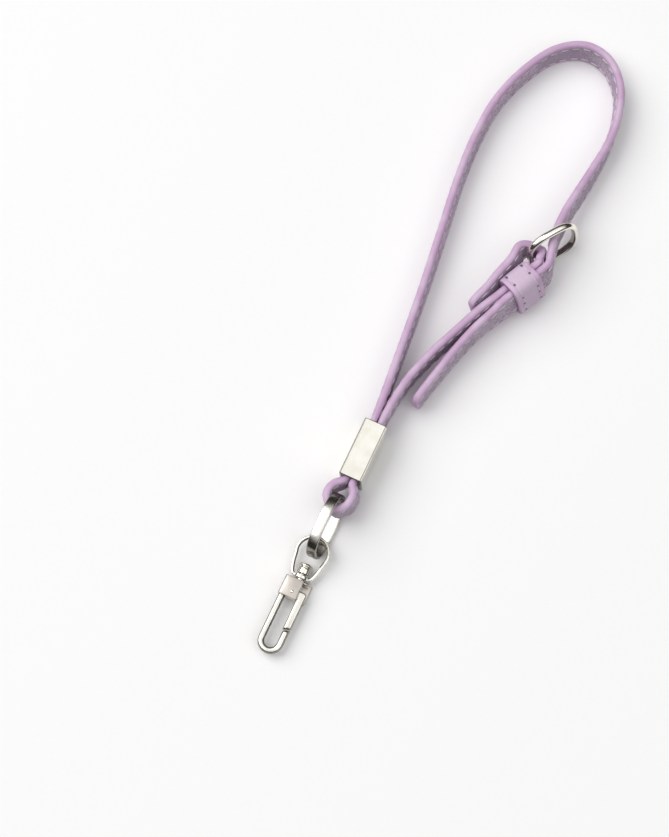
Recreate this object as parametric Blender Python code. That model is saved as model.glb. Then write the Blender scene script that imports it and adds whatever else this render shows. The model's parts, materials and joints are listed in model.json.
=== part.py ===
"""Leather wrist strap with a buckle, a keeper, a metal sleeve, a ring and a swivel snap hook.

The strap stands on its edge on a surface at z = 0, as it does when it is laid down by itself.
+Y runs from the snap hook through the sleeve to the far end of the wrist loop and +X is to the
right seen from above. The pieces are set out round the sleeve's middle, and then the whole is
moved so that the middle of its box lies over the origin. Sizes are in metres.
"""

import math
from collections import namedtuple

import bmesh
import bpy
import numpy as np
from mathutils import Matrix, Vector

MM = 0.001
GAP = 0.3 * MM

# Strap: one folded leather band
STRAP_WIDTH = 8.5 * MM
STRAP_EDGE = 0.6
STRAP_THICKNESS = 2.1 * MM
SLEEVE_SQUEEZE = 0.84
KEEPER_EASE = 2.8 * MM
LOOP_LENGTH = 121.2 * MM
LOOP_WIDTH = 33.4 * MM
TAIL_LENGTH = 39.0 * MM
RETURN_LENGTH = 19.0 * MM
LOOP_HUB_ACROSS = 0.21
LOOP_HUB_ALONG = 0.72
TIP_ROUNDNESS = 0.42
TIP_NARROWEST = 0.45
TIP_STATIONS = (0.0, 0.12, 0.35, 0.7, 1.1)
STATION_LONGEST = 4.0 * MM
STATION_TURN = math.radians(15)

# Sleeve: the metal clamp round both strands
SLEEVE_X = -0.3 * MM
SLEEVE_LENGTH = 16.4 * MM
SLEEVE_SIDE_WALL = 1.0 * MM
SLEEVE_FLOOR_WALL = 0.9 * MM
SLEEVE_EDGE = 0.35 * MM
DIMPLE_RADIUS = 1.05 * MM
DIMPLE_DEPTH = 0.35 * MM
DIMPLE_SPACING = 8.4 * MM
DIMPLE_OFFSET = -0.4 * MM

# Keeper: the leather band round the strand and the free tail
KEEPER_LENGTH = 8.6 * MM
KEEPER_WALL = 1.5 * MM
KEEPER_ALONG = 51.1 * MM
KEEPER_ACROSS = 19.3 * MM
KEEPER_TURN = math.radians(25.7)
KEEPER_LEAN = math.radians(18.0)
KEEPER_CORNER = 1.3 * MM
KEEPER_EDGE = 0.35 * MM

# Buckle frame: an oval ring, domed outside, standing nearly upright
FRAME_LENGTH = 15.8 * MM
FRAME_HEIGHT = 13.8 * MM
FRAME_BAR = 1.5 * MM
FRAME_BAR_WIDTH = 2.2 * MM
FRAME_DOME = 0.75
FRAME_FLAT = 0.7
FRAME_ROUNDNESS = 2.8
FRAME_TURN = math.radians(34.5)
FRAME_LEAN = math.radians(16.0)
FRAME_FORWARD = 13.8 * MM
FRAME_SIDEWAYS = -3.9 * MM
FRAME_FOLD_WIDTH = 5.6 * MM
FRAME_FOLD_SLACK = 0.75 * MM
FRAME_FOLD_SIDEWAYS = 0.35 * MM

# Rivet that holds the returned end to the strand
RIVET_RADIUS = 0.8 * MM
RIVET_HEAD_RADIUS = 1.7 * MM
RIVET_HEAD_HEIGHT = 0.45 * MM
RIVET_FROM_KEEPER = 1.5 * MM
RIVET_SEAT_GAP = 0.4 * MM

# Ring: an oval of flat strip, upright in the strap's fold
RING_LENGTH = 18.2 * MM
RING_HEIGHT = 13.4 * MM
RING_STRIP = 2.8 * MM
RING_WALL = 0.9 * MM
RING_EDGE = 0.25 * MM
RING_ROUNDNESS = 2.75
RING_LEAN = math.radians(8.0)
RING_FROM_SLEEVE = 4.6 * MM
RING_X = -0.9 * MM
FOLD_LENGTH = 10.3 * MM
FOLD_WIDTH = 8.6 * MM
FOLD_LEAN = 0.9
FOLD_SQUEEZE = 0.92

# Swivel eye: a flat strip bent to a rounded D
EYE_WIDTH = 9.6 * MM
EYE_LENGTH = 12.3 * MM
EYE_BASE = 6.0 * MM
EYE_WALL = 1.0 * MM
EYE_HEIGHT = 1.4 * MM
EYE_EDGE = 0.2 * MM
EYE_OVERLAP = 6.5 * MM
EYE_BOSS_RADIUS = 2.2 * MM

# Swivel pin
PIN_RADIUS = 0.9 * MM
PIN_COLLAR_RADIUS = 1.7 * MM
PIN_COLLAR_LENGTH = 2.1 * MM
PIN_HEAD_RADIUS = 2.0 * MM
PIN_HEAD_LENGTH = 1.0 * MM
PIN_FLANGE_RADIUS = 1.5 * MM
PIN_FLANGE_LENGTH = 0.6 * MM

# Snap hook: housing, fixed leg with its bow, and sprung gate
HOOK_AXIS_X = -1.5 * MM
HOUSING_WIDTH = 7.4 * MM
HOUSING_LENGTH = 5.4 * MM
HOUSING_HEIGHT = 5.0 * MM
HOUSING_WALL = 0.8 * MM
HOUSING_STEP = 2.2 * MM
HOOK_LENGTH = 21.0 * MM
HOOK_WIDTH = 7.0 * MM
HOOK_WIRE = 1.8 * MM
HOOK_WIRE_HEIGHT = 2.2 * MM
GATE_WIDTH = 2.0 * MM
GATE_PIVOT_ACROSS = -0.3 * MM
GATE_PIVOT_ALONG = 3.7 * MM
GATE_THICKNESS = 2.2 * MM
GATE_PIN_RADIUS = 0.4 * MM
GATE_HUB_RADIUS = 1.1 * MM
GATE_REACH = 13.2 * MM
GATE_SLANT = 0.4

Row = namedtuple("Row", "along across lift lean")
Turn = namedtuple("Turn", "along across lean width")
Place = namedtuple("Place", "origin turn")

# The wrist loop's centre line from the sleeve round to the buckle.
# along: share of LOOP_LENGTH from the sleeve's mouth; across: share of LOOP_WIDTH to the right;
# lift: share of the lift at the end that is nearer; lean: how far the top edge leans outward,
# as a share of the strap's width.
LEFT_ROWS = [
    Row(0.045, -0.048, 0.85, 0.00),
    Row(0.165, -0.085, 0.45, 0.05),
    Row(0.315, -0.138, 0.10, 0.08),
    Row(0.470, -0.208, 0.00, 0.10),
    Row(0.600, -0.268, 0.00, 0.10),
    Row(0.705, -0.289, 0.00, 0.10),
    Row(0.805, -0.262, 0.00, 0.10),
    Row(0.897, -0.152, 0.00, 0.11),
    Row(0.966, 0.004, 0.00, 0.12),
    Row(1.000, 0.214, 0.00, 0.13),
    Row(0.991, 0.420, 0.00, 0.13),
    Row(0.946, 0.592, 0.00, 0.11),
    Row(0.880, 0.684, 0.00, 0.08),
    Row(0.808, 0.712, 0.00, 0.00),
]
RIGHT_ROWS = [
    Row(0.740, 0.698, 0.10, -0.12),
    Row(0.672, 0.672, 0.35, -0.18),
    Row(0.610, 0.648, 0.65, -0.17),
]

# The strand and the tail between the sleeve's mouth and the keeper.
# along: share of the way; across: in strap widths to the right of the straight way;
# lift: share of the keeper's lift; lean: top edge to the left, as a share of the strap's width.
STRAND_ROWS = [
    Row(0.10, -0.17, 0.70, 0.00),
    Row(0.27, -0.36, 0.72, 0.02),
    Row(0.46, -0.39, 0.76, 0.06),
    Row(0.66, -0.29, 0.84, 0.13),
    Row(0.84, -0.16, 0.94, 0.24),
]
TAIL_ROWS = [
    Row(1.00, 0.225, 0.20, 0.06),
    Row(0.885, 0.13, 0.30, 0.08),
    Row(0.70, 0.02, 0.40, 0.10),
    Row(0.55, -0.06, 0.55, 0.12),
    Row(0.35, -0.11, 0.80, 0.15),
    Row(0.16, -0.06, 0.95, 0.24),
]

# The loop's strand between the keeper and the wrist loop, where it crosses through the frame.
# along and across: shares of FRAME_LENGTH from the frame's middle, in the frame's own heading;
# lean: share of the frame's lean; width: share of the strap's width.
CROSSING_ROWS = [
    Turn(-0.28, 0.325, 0.5, 1.0),
    Turn(0.05, -0.03, 0.5, 1.0),
]

# The fold round the frame's near end, which the strand makes.
# along and across: shares of half the fold's width from its tip and from its middle; lean and
# width as before. The frame's round inside presses the leather narrower at the tip.
FRAME_FOLD_ROWS = [
    Turn(-0.30, 0.76, 0.8, 0.84),
    Turn(0.28, 0.28, 0.9, 0.74),
    Turn(0.06, -0.30, 1.0, 0.68),
    Turn(-0.62, -1.06, 1.0, 0.76),
    Turn(-1.35, -1.18, 1.0, 0.92),
]

# The returned end beside the keeper and then beside the strand.
# along: share of RETURN_LENGTH from the keeper's far end; across: free distance to what lies
# beside it, in strap thicknesses; lean: share of the keeper's lean.
RETURN_ROWS = [
    Turn(0.10, 0.72, 1.1, 1.0),
    Turn(0.40, 0.30, 1.0, 1.0),
    Turn(0.66, 0.52, 1.0, 1.0),
    Turn(1.00, 0.24, 1.0, 1.0),
]

# Half of the fold round the ring, from the sleeve's end to its tip.
# along: share of the fold's length; across: share of its half width.
FOLD_ROWS = [
    Row(0.12, 0.42, 0.30, 0.0),
    Row(0.32, 0.86, 0.70, 0.0),
    Row(0.55, 1.02, 1.00, 0.0),
    Row(0.80, 0.80, 1.00, 0.0),
]

SLEEVE_STRAND = STRAP_THICKNESS * SLEEVE_SQUEEZE
SLEEVE_INNER_WIDTH = 2.0 * SLEEVE_STRAND + 3.0 * GAP
SLEEVE_INNER_HEIGHT = STRAP_WIDTH + 2.0 * GAP
SLEEVE_WIDTH = SLEEVE_INNER_WIDTH + 2.0 * SLEEVE_SIDE_WALL
SLEEVE_HEIGHT = SLEEVE_INNER_HEIGHT + 2.0 * SLEEVE_FLOOR_WALL
KEEPER_INNER_WIDTH = 2.0 * STRAP_THICKNESS + 3.0 * GAP
KEEPER_INNER_HEIGHT = STRAP_WIDTH + 2.0 * GAP
KEEPER_OUTER_WIDTH = KEEPER_INNER_WIDTH + 2.0 * KEEPER_WALL
KEEPER_OUTER_HEIGHT = KEEPER_INNER_HEIGHT + 2.0 * KEEPER_WALL
KEEPER_OUTER_CORNER = KEEPER_CORNER + KEEPER_WALL
RING_END_Y = -(SLEEVE_LENGTH / 2 + RING_FROM_SLEEVE + RING_LENGTH)
HOUSING_END_Y = RING_END_Y + EYE_OVERLAP - EYE_LENGTH - 2 * GAP


def leaning_height(width, height, corner, lean):
    """Half the height of a leaning rounded rectangle above the surface that it touches."""
    flat_half_width = width / 2 - corner
    flat_half_height = height / 2 - corner
    return flat_half_width * math.sin(lean) + flat_half_height * math.cos(lean) + corner


SLEEVE_CENTRE_Z = SLEEVE_HEIGHT / 2
KEEPER_CENTRE_Z = leaning_height(KEEPER_OUTER_WIDTH, KEEPER_OUTER_HEIGHT, KEEPER_OUTER_CORNER, KEEPER_LEAN)
FRAME_CENTRE_Z = FRAME_HEIGHT / 2 * math.cos(FRAME_LEAN) + FRAME_BAR_WIDTH / 2 * math.sin(FRAME_LEAN)
RING_CENTRE_Z = RING_HEIGHT / 2 * math.cos(RING_LEAN) + RING_STRIP / 2 * math.sin(RING_LEAN)
HOOK_CENTRE_Z = HOUSING_HEIGHT / 2
FLOOR_CENTRE_Z = STRAP_WIDTH / 2


def local_to_plan(place, across, along):
    """The plan point that lies across to the right of a place and along its heading."""
    sine, cosine = math.sin(place.turn), math.cos(place.turn)
    x = place.origin[0] + across * cosine + along * sine
    y = place.origin[1] - across * sine + along * cosine
    return x, y


def keeper_place():
    """Middle of the keeper, heading along the strands."""
    return Place((KEEPER_ACROSS, SLEEVE_LENGTH / 2 + KEEPER_ALONG), KEEPER_TURN)


def frame_place():
    """Middle of the buckle frame, heading along its long axis, set off from the keeper."""
    return Place(local_to_plan(keeper_place(), FRAME_SIDEWAYS, FRAME_FORWARD), FRAME_TURN)


def route_point(place, across, along, centre_z, lean_left, thickness=1.0, width=1.0):
    """One route row: plan point, height, lean of the top edge in x and y, two shares of size."""
    x, y = local_to_plan(place, across, along)
    lean_x = -lean_left * math.cos(place.turn)
    lean_y = lean_left * math.sin(place.turn)
    return [x, y, centre_z, lean_x, lean_y, thickness, width]


def keeper_run(side, direction):
    """The straight way through the keeper: side -1 is the strand, 1 the tail."""
    place = keeper_place()
    beside = side * (STRAP_THICKNESS + GAP) / 2
    across = beside * math.cos(KEEPER_LEAN)
    height = KEEPER_CENTRE_Z + beside * math.sin(KEEPER_LEAN)
    reach = KEEPER_LENGTH / 2 + KEEPER_EASE
    rows = []
    for stop in (-reach, -KEEPER_LENGTH / 2, KEEPER_LENGTH / 2, reach):
        rows.append(route_point(place, across, direction * stop, height, math.tan(KEEPER_LEAN)))
    return rows


def sleeve_run(side, direction):
    """The straight way through the sleeve: side -1 is the left strand, 1 the right one."""
    across = side * (SLEEVE_STRAND + GAP) / 2
    place = Place((SLEEVE_X, 0.0), 0.0)
    rows = []
    for stop in (-SLEEVE_LENGTH / 2, SLEEVE_LENGTH / 2):
        rows.append(route_point(place, across, direction * stop, SLEEVE_CENTRE_Z, 0.0, SLEEVE_SQUEEZE))
    return rows


def loop_rows():
    """The wrist loop from the buckle round to the sleeve, leaning outward all the way."""
    start = SLEEVE_LENGTH / 2
    hub_x = LOOP_HUB_ACROSS * LOOP_WIDTH
    hub_y = start + LOOP_HUB_ALONG * LOOP_LENGTH
    frame_lift = FRAME_CENTRE_Z - FLOOR_CENTRE_Z
    sleeve_lift = SLEEVE_CENTRE_Z - FLOOR_CENTRE_Z
    rows = []
    for table, full_lift in ((RIGHT_ROWS[::-1], frame_lift), (LEFT_ROWS[::-1], sleeve_lift)):
        for row in table:
            x = row.across * LOOP_WIDTH
            y = start + row.along * LOOP_LENGTH
            out_x = x - hub_x
            out_y = max(y - hub_y, 0.0)
            size = math.hypot(out_x, out_y)
            lean_x = row.lean * out_x / size
            lean_y = row.lean * out_y / size
            rows.append([x, y, FLOOR_CENTRE_Z + row.lift * full_lift, lean_x, lean_y, 1.0, 1.0])
    return rows


def strand_rows():
    """The strand from the sleeve's mouth to the keeper."""
    start = (SLEEVE_X + (SLEEVE_STRAND + GAP) / 2, SLEEVE_LENGTH / 2)
    end = local_to_plan(keeper_place(), -(STRAP_THICKNESS + GAP) / 2, -KEEPER_LENGTH / 2)
    return between_rows(STRAND_ROWS, start, end, math.dist(start, end))


def tail_rows():
    """The free tail, from its tip to the keeper, beside the strand."""
    start = local_to_plan(keeper_place(), (STRAP_THICKNESS + GAP) / 2, -KEEPER_LENGTH / 2)
    strand_start = (SLEEVE_X + (SLEEVE_STRAND + GAP) / 2, SLEEVE_LENGTH / 2)
    return between_rows(TAIL_ROWS, start, strand_start, TAIL_LENGTH)


def between_rows(table, start, end, length):
    """Rows of a table set out on the straight way from start towards end."""
    heading = (Vector(end) - Vector(start)).normalized()
    forward = heading if heading.y > 0 else -heading
    rows = []
    for row in table:
        x = start[0] + heading.x * row.along * length + forward.y * row.across * STRAP_WIDTH
        y = start[1] + heading.y * row.along * length - forward.x * row.across * STRAP_WIDTH
        height = FLOOR_CENTRE_Z + row.lift * (KEEPER_CENTRE_Z - FLOOR_CENTRE_Z)
        rows.append([x, y, height, -row.lean * forward.y, row.lean * forward.x, 1.0, 1.0])
    return rows


def frame_crossing_rows():
    """The strand that crosses through the frame between the keeper and the wrist loop."""
    rows = []
    for row in CROSSING_ROWS:
        lean = row.lean * math.tan(FRAME_LEAN)
        across, along = row.across * FRAME_LENGTH, row.along * FRAME_LENGTH
        rows.append(route_point(frame_place(), across, along, FRAME_CENTRE_Z, lean))
    return rows


def frame_fold_rows():
    """The fold round the buckle frame's near end, from the keeper's strand to the returned end."""
    half = FRAME_FOLD_WIDTH / 2
    tip = -FRAME_LENGTH / 2 + FRAME_BAR + FRAME_FOLD_SLACK + STRAP_THICKNESS / 2
    rows = []
    for row in FRAME_FOLD_ROWS:
        lean = row.lean * math.tan(FRAME_LEAN)
        across = FRAME_FOLD_SIDEWAYS + row.across * half
        along = tip + row.along * half
        rows.append(route_point(frame_place(), across, along, FRAME_CENTRE_Z, lean, 1.0, row.width))
    return rows


def return_rows():
    """The returned end outside the keeper, which the rivet holds to the strand."""
    strand_face = 1.5 * GAP + STRAP_THICKNESS
    rows = []
    for row in RETURN_ROWS:
        along = KEEPER_LENGTH / 2 - row.along * RETURN_LENGTH
        beside = KEEPER_OUTER_WIDTH / 2 if along > -KEEPER_LENGTH / 2 else strand_face
        across = -beside - (row.across + 0.5) * STRAP_THICKNESS
        lean = row.lean * math.tan(KEEPER_LEAN)
        rows.append(route_point(keeper_place(), across, along, KEEPER_CENTRE_Z, lean))
    return rows


def ring_fold_rows():
    """The fold round the ring, from the left strand to the right one."""
    start = -SLEEVE_LENGTH / 2
    half = (FOLD_WIDTH - STRAP_THICKNESS) / 2
    length = FOLD_LENGTH - STRAP_THICKNESS / 2
    lift = RING_CENTRE_Z - SLEEVE_CENTRE_Z
    lean = FOLD_LEAN * math.tan(RING_LEAN)
    rows = []
    for side, table in ((-1.0, FOLD_ROWS), (0.0, [Row(1.0, 0.0, 1.0, 0.0)]), (1.0, FOLD_ROWS[::-1])):
        for row in table:
            x = SLEEVE_X + side * row.across * half + row.lift * (RING_X - SLEEVE_X) / 2
            y = start - row.along * length
            z = SLEEVE_CENTRE_Z + row.lift * lift
            width = 1.0 - row.lift * (1.0 - FOLD_SQUEEZE)
            rows.append([x, y, z, -row.lift * lean, 0.0, 1.0, width])
    return rows


def strap_route():
    """All route rows, from the tail's tip to the returned end."""
    rows = tail_rows() + keeper_run(1, 1) + frame_crossing_rows() + loop_rows()
    rows += sleeve_run(-1, -1) + ring_fold_rows() + sleeve_run(1, 1)
    rows += strand_rows() + keeper_run(-1, 1) + frame_fold_rows() + return_rows()
    return np.array(rows)


def smooth_curve(rows, steps):
    """A centripetal curve through all rows, with a number of steps in each span."""
    points = np.vstack([2 * rows[0] - rows[1], rows, 2 * rows[-1] - rows[-2]])
    spans = []
    share = np.linspace(0.0, 1.0, steps, endpoint=False)[:, None]
    for p0, p1, p2, p3 in zip(points[:-3], points[1:-2], points[2:-1], points[3:]):
        d1 = math.sqrt(np.linalg.norm(p1[:3] - p0[:3]))
        d2 = math.sqrt(np.linalg.norm(p2[:3] - p1[:3]))
        d3 = math.sqrt(np.linalg.norm(p3[:3] - p2[:3]))
        m1 = d2 * ((p1 - p0) / d1 - (p2 - p0) / (d1 + d2) + (p2 - p1) / d2)
        m2 = d2 * ((p2 - p1) / d2 - (p3 - p1) / (d2 + d3) + (p3 - p2) / d3)
        c3 = 2 * p1 - 2 * p2 + m1 + m2
        c2 = -3 * p1 + 3 * p2 - 2 * m1 - m2
        spans.append(p1 + m1 * share + c2 * share ** 2 + c3 * share ** 3)
    return np.vstack(spans + [rows[-1:]])


def thin_out(curve, longest, widest_turn):
    """Stations of a curve, closer together where it turns."""
    steps = np.diff(curve[:, :2], axis=0)
    lengths = np.linalg.norm(steps, axis=1)
    headings = np.unwrap(np.arctan2(steps[:, 1], steps[:, 0]))
    turns = np.abs(np.diff(headings, prepend=headings[0]))
    effort = np.concatenate([[0.0], np.cumsum(np.maximum(lengths / longest, turns / widest_turn))])
    count = int(math.ceil(effort[-1]))
    wanted = np.linspace(0.0, effort[-1], count + 1)
    return np.stack([np.interp(wanted, effort, column) for column in curve.T], axis=1)


def round_tip(distance, radius, narrowest):
    """Share of the full width at a distance from a rounded tip."""
    inside = np.clip((radius - distance) / radius, 0.0, 1.0)
    return np.maximum(np.sqrt(1.0 - inside ** 2), narrowest)


def end_stations(curve, distances):
    """The curve with more stations near both ends, where the tips are rounded."""
    lengths = np.linalg.norm(np.diff(curve[:, :3], axis=0), axis=1)
    along = np.concatenate([[0.0], np.cumsum(lengths)])
    total = along[-1]
    keep = along[(along > distances[-1]) & (along < total - distances[-1])]
    wanted = np.concatenate([distances, keep, total - distances[::-1]])
    return wanted, total, np.stack([np.interp(wanted, along, column) for column in curve.T], axis=1)


def edge_profile(half_width, half_thickness, steps):
    """Closed outline of the strap's section with round edges, as (width, thickness) offsets."""
    angles = np.linspace(0.0, math.pi, steps)
    depth = STRAP_EDGE * half_thickness
    top = np.stack([half_width - depth + depth * np.sin(angles), half_thickness * np.cos(angles)], axis=1)
    return np.vstack([top, -top])


def loft_strap(curve, width, thickness, edge_steps):
    """Vertices and faces of the band along a curve of route rows."""
    tip_radius = TIP_ROUNDNESS * width
    along, total, rows = end_stations(curve, tip_radius * np.array(TIP_STATIONS))
    tangent = np.gradient(rows[:, :3], along, axis=0)
    tangent /= np.linalg.norm(tangent, axis=1)[:, None]
    up = np.concatenate([rows[:, 3:5], np.ones((len(rows), 1))], axis=1)
    up /= np.linalg.norm(up, axis=1)[:, None]
    side = np.cross(tangent, up)
    side /= np.linalg.norm(side, axis=1)[:, None]
    tip = round_tip(np.minimum(along, total - along), tip_radius, TIP_NARROWEST)
    rings = []
    for i in range(len(rows)):
        profile = edge_profile(width / 2 * tip[i] * rows[i, 6], thickness / 2 * rows[i, 5], edge_steps)
        rings.append(rows[i, :3] + profile[:, :1] * up[i] + profile[:, 1:] * side[i])
    return bridge_rings(rings, closed=False)


def bridge_rings(rings, closed):
    """Vertices and faces of a skin over rings of equally many points."""
    count = len(rings[0])
    vertices = [tuple(point) for ring in rings for point in ring]
    faces = []
    spans = len(rings) if closed else len(rings) - 1
    for i in range(spans):
        first, second = i * count, (i + 1) % len(rings) * count
        for j in range(count):
            k = (j + 1) % count
            faces.append((first + j, first + k, second + k, second + j))
    if not closed:
        faces.append(tuple(range(count))[::-1])
        faces.append(tuple(range(len(vertices) - count, len(vertices))))
    return vertices, faces


def principled(name, colour, roughness, metallic):
    """A Principled BSDF material."""
    material = bpy.data.materials.new(name)
    material.use_nodes = True
    shader = material.node_tree.nodes["Principled BSDF"]
    shader.inputs["Base Color"].default_value = (*colour, 1.0)
    shader.inputs["Roughness"].default_value = roughness
    shader.inputs["Metallic"].default_value = metallic
    return material


def mesh_object(name, vertices, faces, material, sharp_angle=math.radians(40)):
    """An object of a mesh whose faces are turned outward and shaded smooth but for its edges."""
    mesh = bpy.data.meshes.new(name)
    bm = bmesh.new()
    points = [bm.verts.new(vertex) for vertex in vertices]
    for face in faces:
        bm.faces.new([points[i] for i in face])
    bmesh.ops.recalc_face_normals(bm, faces=bm.faces)
    bm.to_mesh(mesh)
    bm.free()
    mesh.shade_smooth()
    mesh.set_sharp_from_angle(angle=sharp_angle)
    if material is not None:
        mesh.materials.append(material)
    item = bpy.data.objects.new(name, mesh)
    bpy.context.scene.collection.objects.link(item)
    return item


def rounded_rectangle(half_length, half_height, corner, steps):
    """Outline points and outward directions of a rounded rectangle, anticlockwise."""
    points = []
    outward = []
    centres = [(1, 1), (-1, 1), (-1, -1), (1, -1)]
    for quarter, (sign_x, sign_y) in enumerate(centres):
        for angle in np.linspace(0.0, math.pi / 2, steps) + quarter * math.pi / 2:
            direction = np.array([math.cos(angle), math.sin(angle)])
            centre = np.array([sign_x * (half_length - corner), sign_y * (half_height - corner)])
            points.append(centre + corner * direction)
            outward.append(direction)
    return np.array(points), np.array(outward)


def superellipse(half_length, half_height, power, count):
    """Outline points and outward directions of a rounded oval, anticlockwise."""
    angles = (np.arange(count) + 0.5) * 2 * math.pi / count
    cosine, sine = np.cos(angles), np.sin(angles)
    size = (np.abs(cosine / half_length) ** power + np.abs(sine / half_height) ** power) ** (-1.0 / power)
    points = np.stack([size * cosine, size * sine], axis=1)
    slope_x = np.sign(points[:, 0]) * np.abs(points[:, 0] / half_length) ** (power - 1) / half_length
    slope_y = np.sign(points[:, 1]) * np.abs(points[:, 1] / half_height) ** (power - 1) / half_height
    outward = np.stack([slope_x, slope_y], axis=1)
    return points, outward / np.linalg.norm(outward, axis=1)[:, None]


def hoop(name, outline, outward, profile, material):
    """A closed hoop in the local XY plane: profile rows are (outward, along Z) offsets."""
    rings = []
    for point, direction in zip(outline, outward):
        flat = point + profile[:, :1] * direction
        rings.append(np.concatenate([flat, profile[:, 1:]], axis=1))
    vertices, faces = bridge_rings(rings, closed=True)
    return mesh_object(name, vertices, faces, material)


def turned(name, profile, sides, material):
    """A solid turned round the local Y axis: profile rows are (y, radius) from end to end."""
    rings = []
    angles = np.arange(sides) * 2 * math.pi / sides
    for y, radius in profile:
        rings.append(np.stack([radius * np.sin(angles), np.full(sides, y), radius * np.cos(angles)], axis=1))
    vertices, faces = bridge_rings(rings, closed=False)
    return mesh_object(name, vertices, faces, material)


def box(name, low, high, material=None):
    """A plain box between two corners."""
    xs, ys, zs = zip(low, high)
    vertices = [(x, y, z) for x in xs for y in ys for z in zs]
    faces = [(0, 1, 3, 2), (4, 6, 7, 5), (0, 4, 5, 1), (2, 3, 7, 6), (0, 2, 6, 4), (1, 5, 7, 3)]
    return mesh_object(name, vertices, faces, material)


def as_cutter(item):
    """Marks an object as a cutter that isn't part of the model."""
    item.hide_render = True
    item.display_type = "WIRE"
    return item


def boolean(item, other, operation):
    """Cuts or joins with the EXACT solver; the other object becomes a guide."""
    modifier = item.modifiers.new(operation.title(), "BOOLEAN")
    modifier.operation = operation
    modifier.solver = "EXACT"
    modifier.object = as_cutter(other)
    return modifier


def bevel(item, width, segments=1, angle=math.radians(50)):
    """A bevel on the sharp edges."""
    modifier = item.modifiers.new("Bevel", "BEVEL")
    modifier.width = width
    modifier.segments = segments
    modifier.limit_method = "ANGLE"
    modifier.angle_limit = angle
    modifier.use_clamp_overlap = True
    return modifier


def make_strap(leather):
    """The leather band, with holes for the rivet."""
    curve = thin_out(smooth_curve(strap_route(), 24), STATION_LONGEST, STATION_TURN)
    vertices, faces = loft_strap(curve, STRAP_WIDTH, STRAP_THICKNESS, edge_steps=5)
    strap = mesh_object("strap", vertices, faces, leather)
    hole = rivet_body("rivet_hole_cutter", GAP, None)
    boolean(strap, hole, "DIFFERENCE")
    return strap


def make_keeper(leather):
    """The keeper: a leather tube with rounded corners round the strand and the tail."""
    inner, outward = rounded_rectangle(KEEPER_INNER_WIDTH / 2, KEEPER_INNER_HEIGHT / 2, KEEPER_CORNER, 5)
    half = KEEPER_LENGTH / 2
    profile = np.array([
        [0.0, -half], [KEEPER_WALL - KEEPER_EDGE, -half], [KEEPER_WALL, -half + KEEPER_EDGE],
        [KEEPER_WALL, half - KEEPER_EDGE], [KEEPER_WALL - KEEPER_EDGE, half], [0.0, half],
    ])
    keeper = hoop("keeper", inner, outward, profile, leather)
    place = keeper_place()
    upright = Matrix.Rotation(math.radians(-90), 4, "X")
    lean = Matrix.Rotation(-KEEPER_LEAN, 4, "Y")
    turn = Matrix.Rotation(-place.turn, 4, "Z")
    keeper.matrix_world = Matrix.Translation((*place.origin, KEEPER_CENTRE_Z)) @ turn @ lean @ upright
    return keeper


def make_frame(metal):
    """The buckle frame: an oval hoop, flat inside and domed outside."""
    outline, outward = superellipse(FRAME_LENGTH / 2, FRAME_HEIGHT / 2, FRAME_ROUNDNESS, 36)
    half = FRAME_BAR_WIDTH / 2
    angles = np.linspace(-math.pi / 2, math.pi / 2, 6)
    dome = np.stack([FRAME_DOME * FRAME_BAR * (np.cos(angles) - 1.0), half * np.sin(angles)], axis=1)
    profile = np.vstack([dome, [[-FRAME_BAR, FRAME_FLAT * half], [-FRAME_BAR, -FRAME_FLAT * half]]])
    frame = hoop("buckle_frame", outline, outward, profile, metal)
    place = frame_place()
    long_axis = Vector((math.sin(place.turn), math.cos(place.turn), 0.0))
    right = Vector((math.cos(place.turn), -math.sin(place.turn), 0.0))
    up = Vector((0.0, 0.0, math.cos(FRAME_LEAN))) - right * math.sin(FRAME_LEAN)
    frame.matrix_world = frame_matrix(long_axis, up, (*place.origin, FRAME_CENTRE_Z))
    return frame


def frame_matrix(x_axis, y_axis, origin):
    """A matrix that takes local X and Y to the given directions."""
    z_axis = x_axis.cross(y_axis)
    matrix = Matrix((x_axis, y_axis, z_axis)).transposed().to_4x4()
    matrix.translation = origin
    return matrix


def rivet_body(name, clearance, metal):
    """The rivet: a domed head outside the returned end, and a shank that ends in the strand."""
    place = keeper_place()
    along = -KEEPER_LENGTH / 2 - RIVET_FROM_KEEPER
    strand_middle = -(STRAP_THICKNESS + GAP) / 2 * math.cos(KEEPER_LEAN)
    outer_face = returned_end_across(along) * math.cos(KEEPER_LEAN) - STRAP_THICKNESS / 2
    head = RIVET_HEAD_RADIUS
    shank = RIVET_RADIUS + clearance
    profile = [(strand_middle + clearance, shank)]
    if metal is None:
        profile.append((outer_face - STRAP_THICKNESS, shank))
    else:
        seat = outer_face - RIVET_SEAT_GAP
        profile.append((seat, shank))
        profile.append((seat, head))
        profile.append((seat - 0.4 * RIVET_HEAD_HEIGHT, 0.92 * head))
        profile.append((seat - 0.8 * RIVET_HEAD_HEIGHT, 0.62 * head))
        profile.append((seat - RIVET_HEAD_HEIGHT, 0.2 * head))
    rivet = turned(name, profile[::-1], 12, metal)
    right = Vector((math.cos(place.turn), -math.sin(place.turn), 0.0))
    upright = Vector((0.0, 0.0, 1.0))
    axis = right * math.cos(KEEPER_LEAN) + upright * math.sin(KEEPER_LEAN)
    up = upright * math.cos(KEEPER_LEAN) - right * math.sin(KEEPER_LEAN)
    x, y = local_to_plan(place, 0.0, along)
    rivet.matrix_world = frame_matrix(up, axis, (x, y, KEEPER_CENTRE_Z))
    return rivet


def returned_end_across(along):
    """How far across the keeper's axis the returned end's middle lies, read from its route."""
    place = keeper_place()
    rows = np.array(frame_fold_rows()[-1:] + return_rows())
    curve = smooth_curve(rows, 12)
    offset = curve[:, :2] - np.array(place.origin)
    forward = offset @ np.array([math.sin(place.turn), math.cos(place.turn)])
    across = offset @ np.array([math.cos(place.turn), -math.sin(place.turn)])
    order = np.argsort(forward)
    return float(np.interp(along, forward[order], across[order]))


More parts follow.
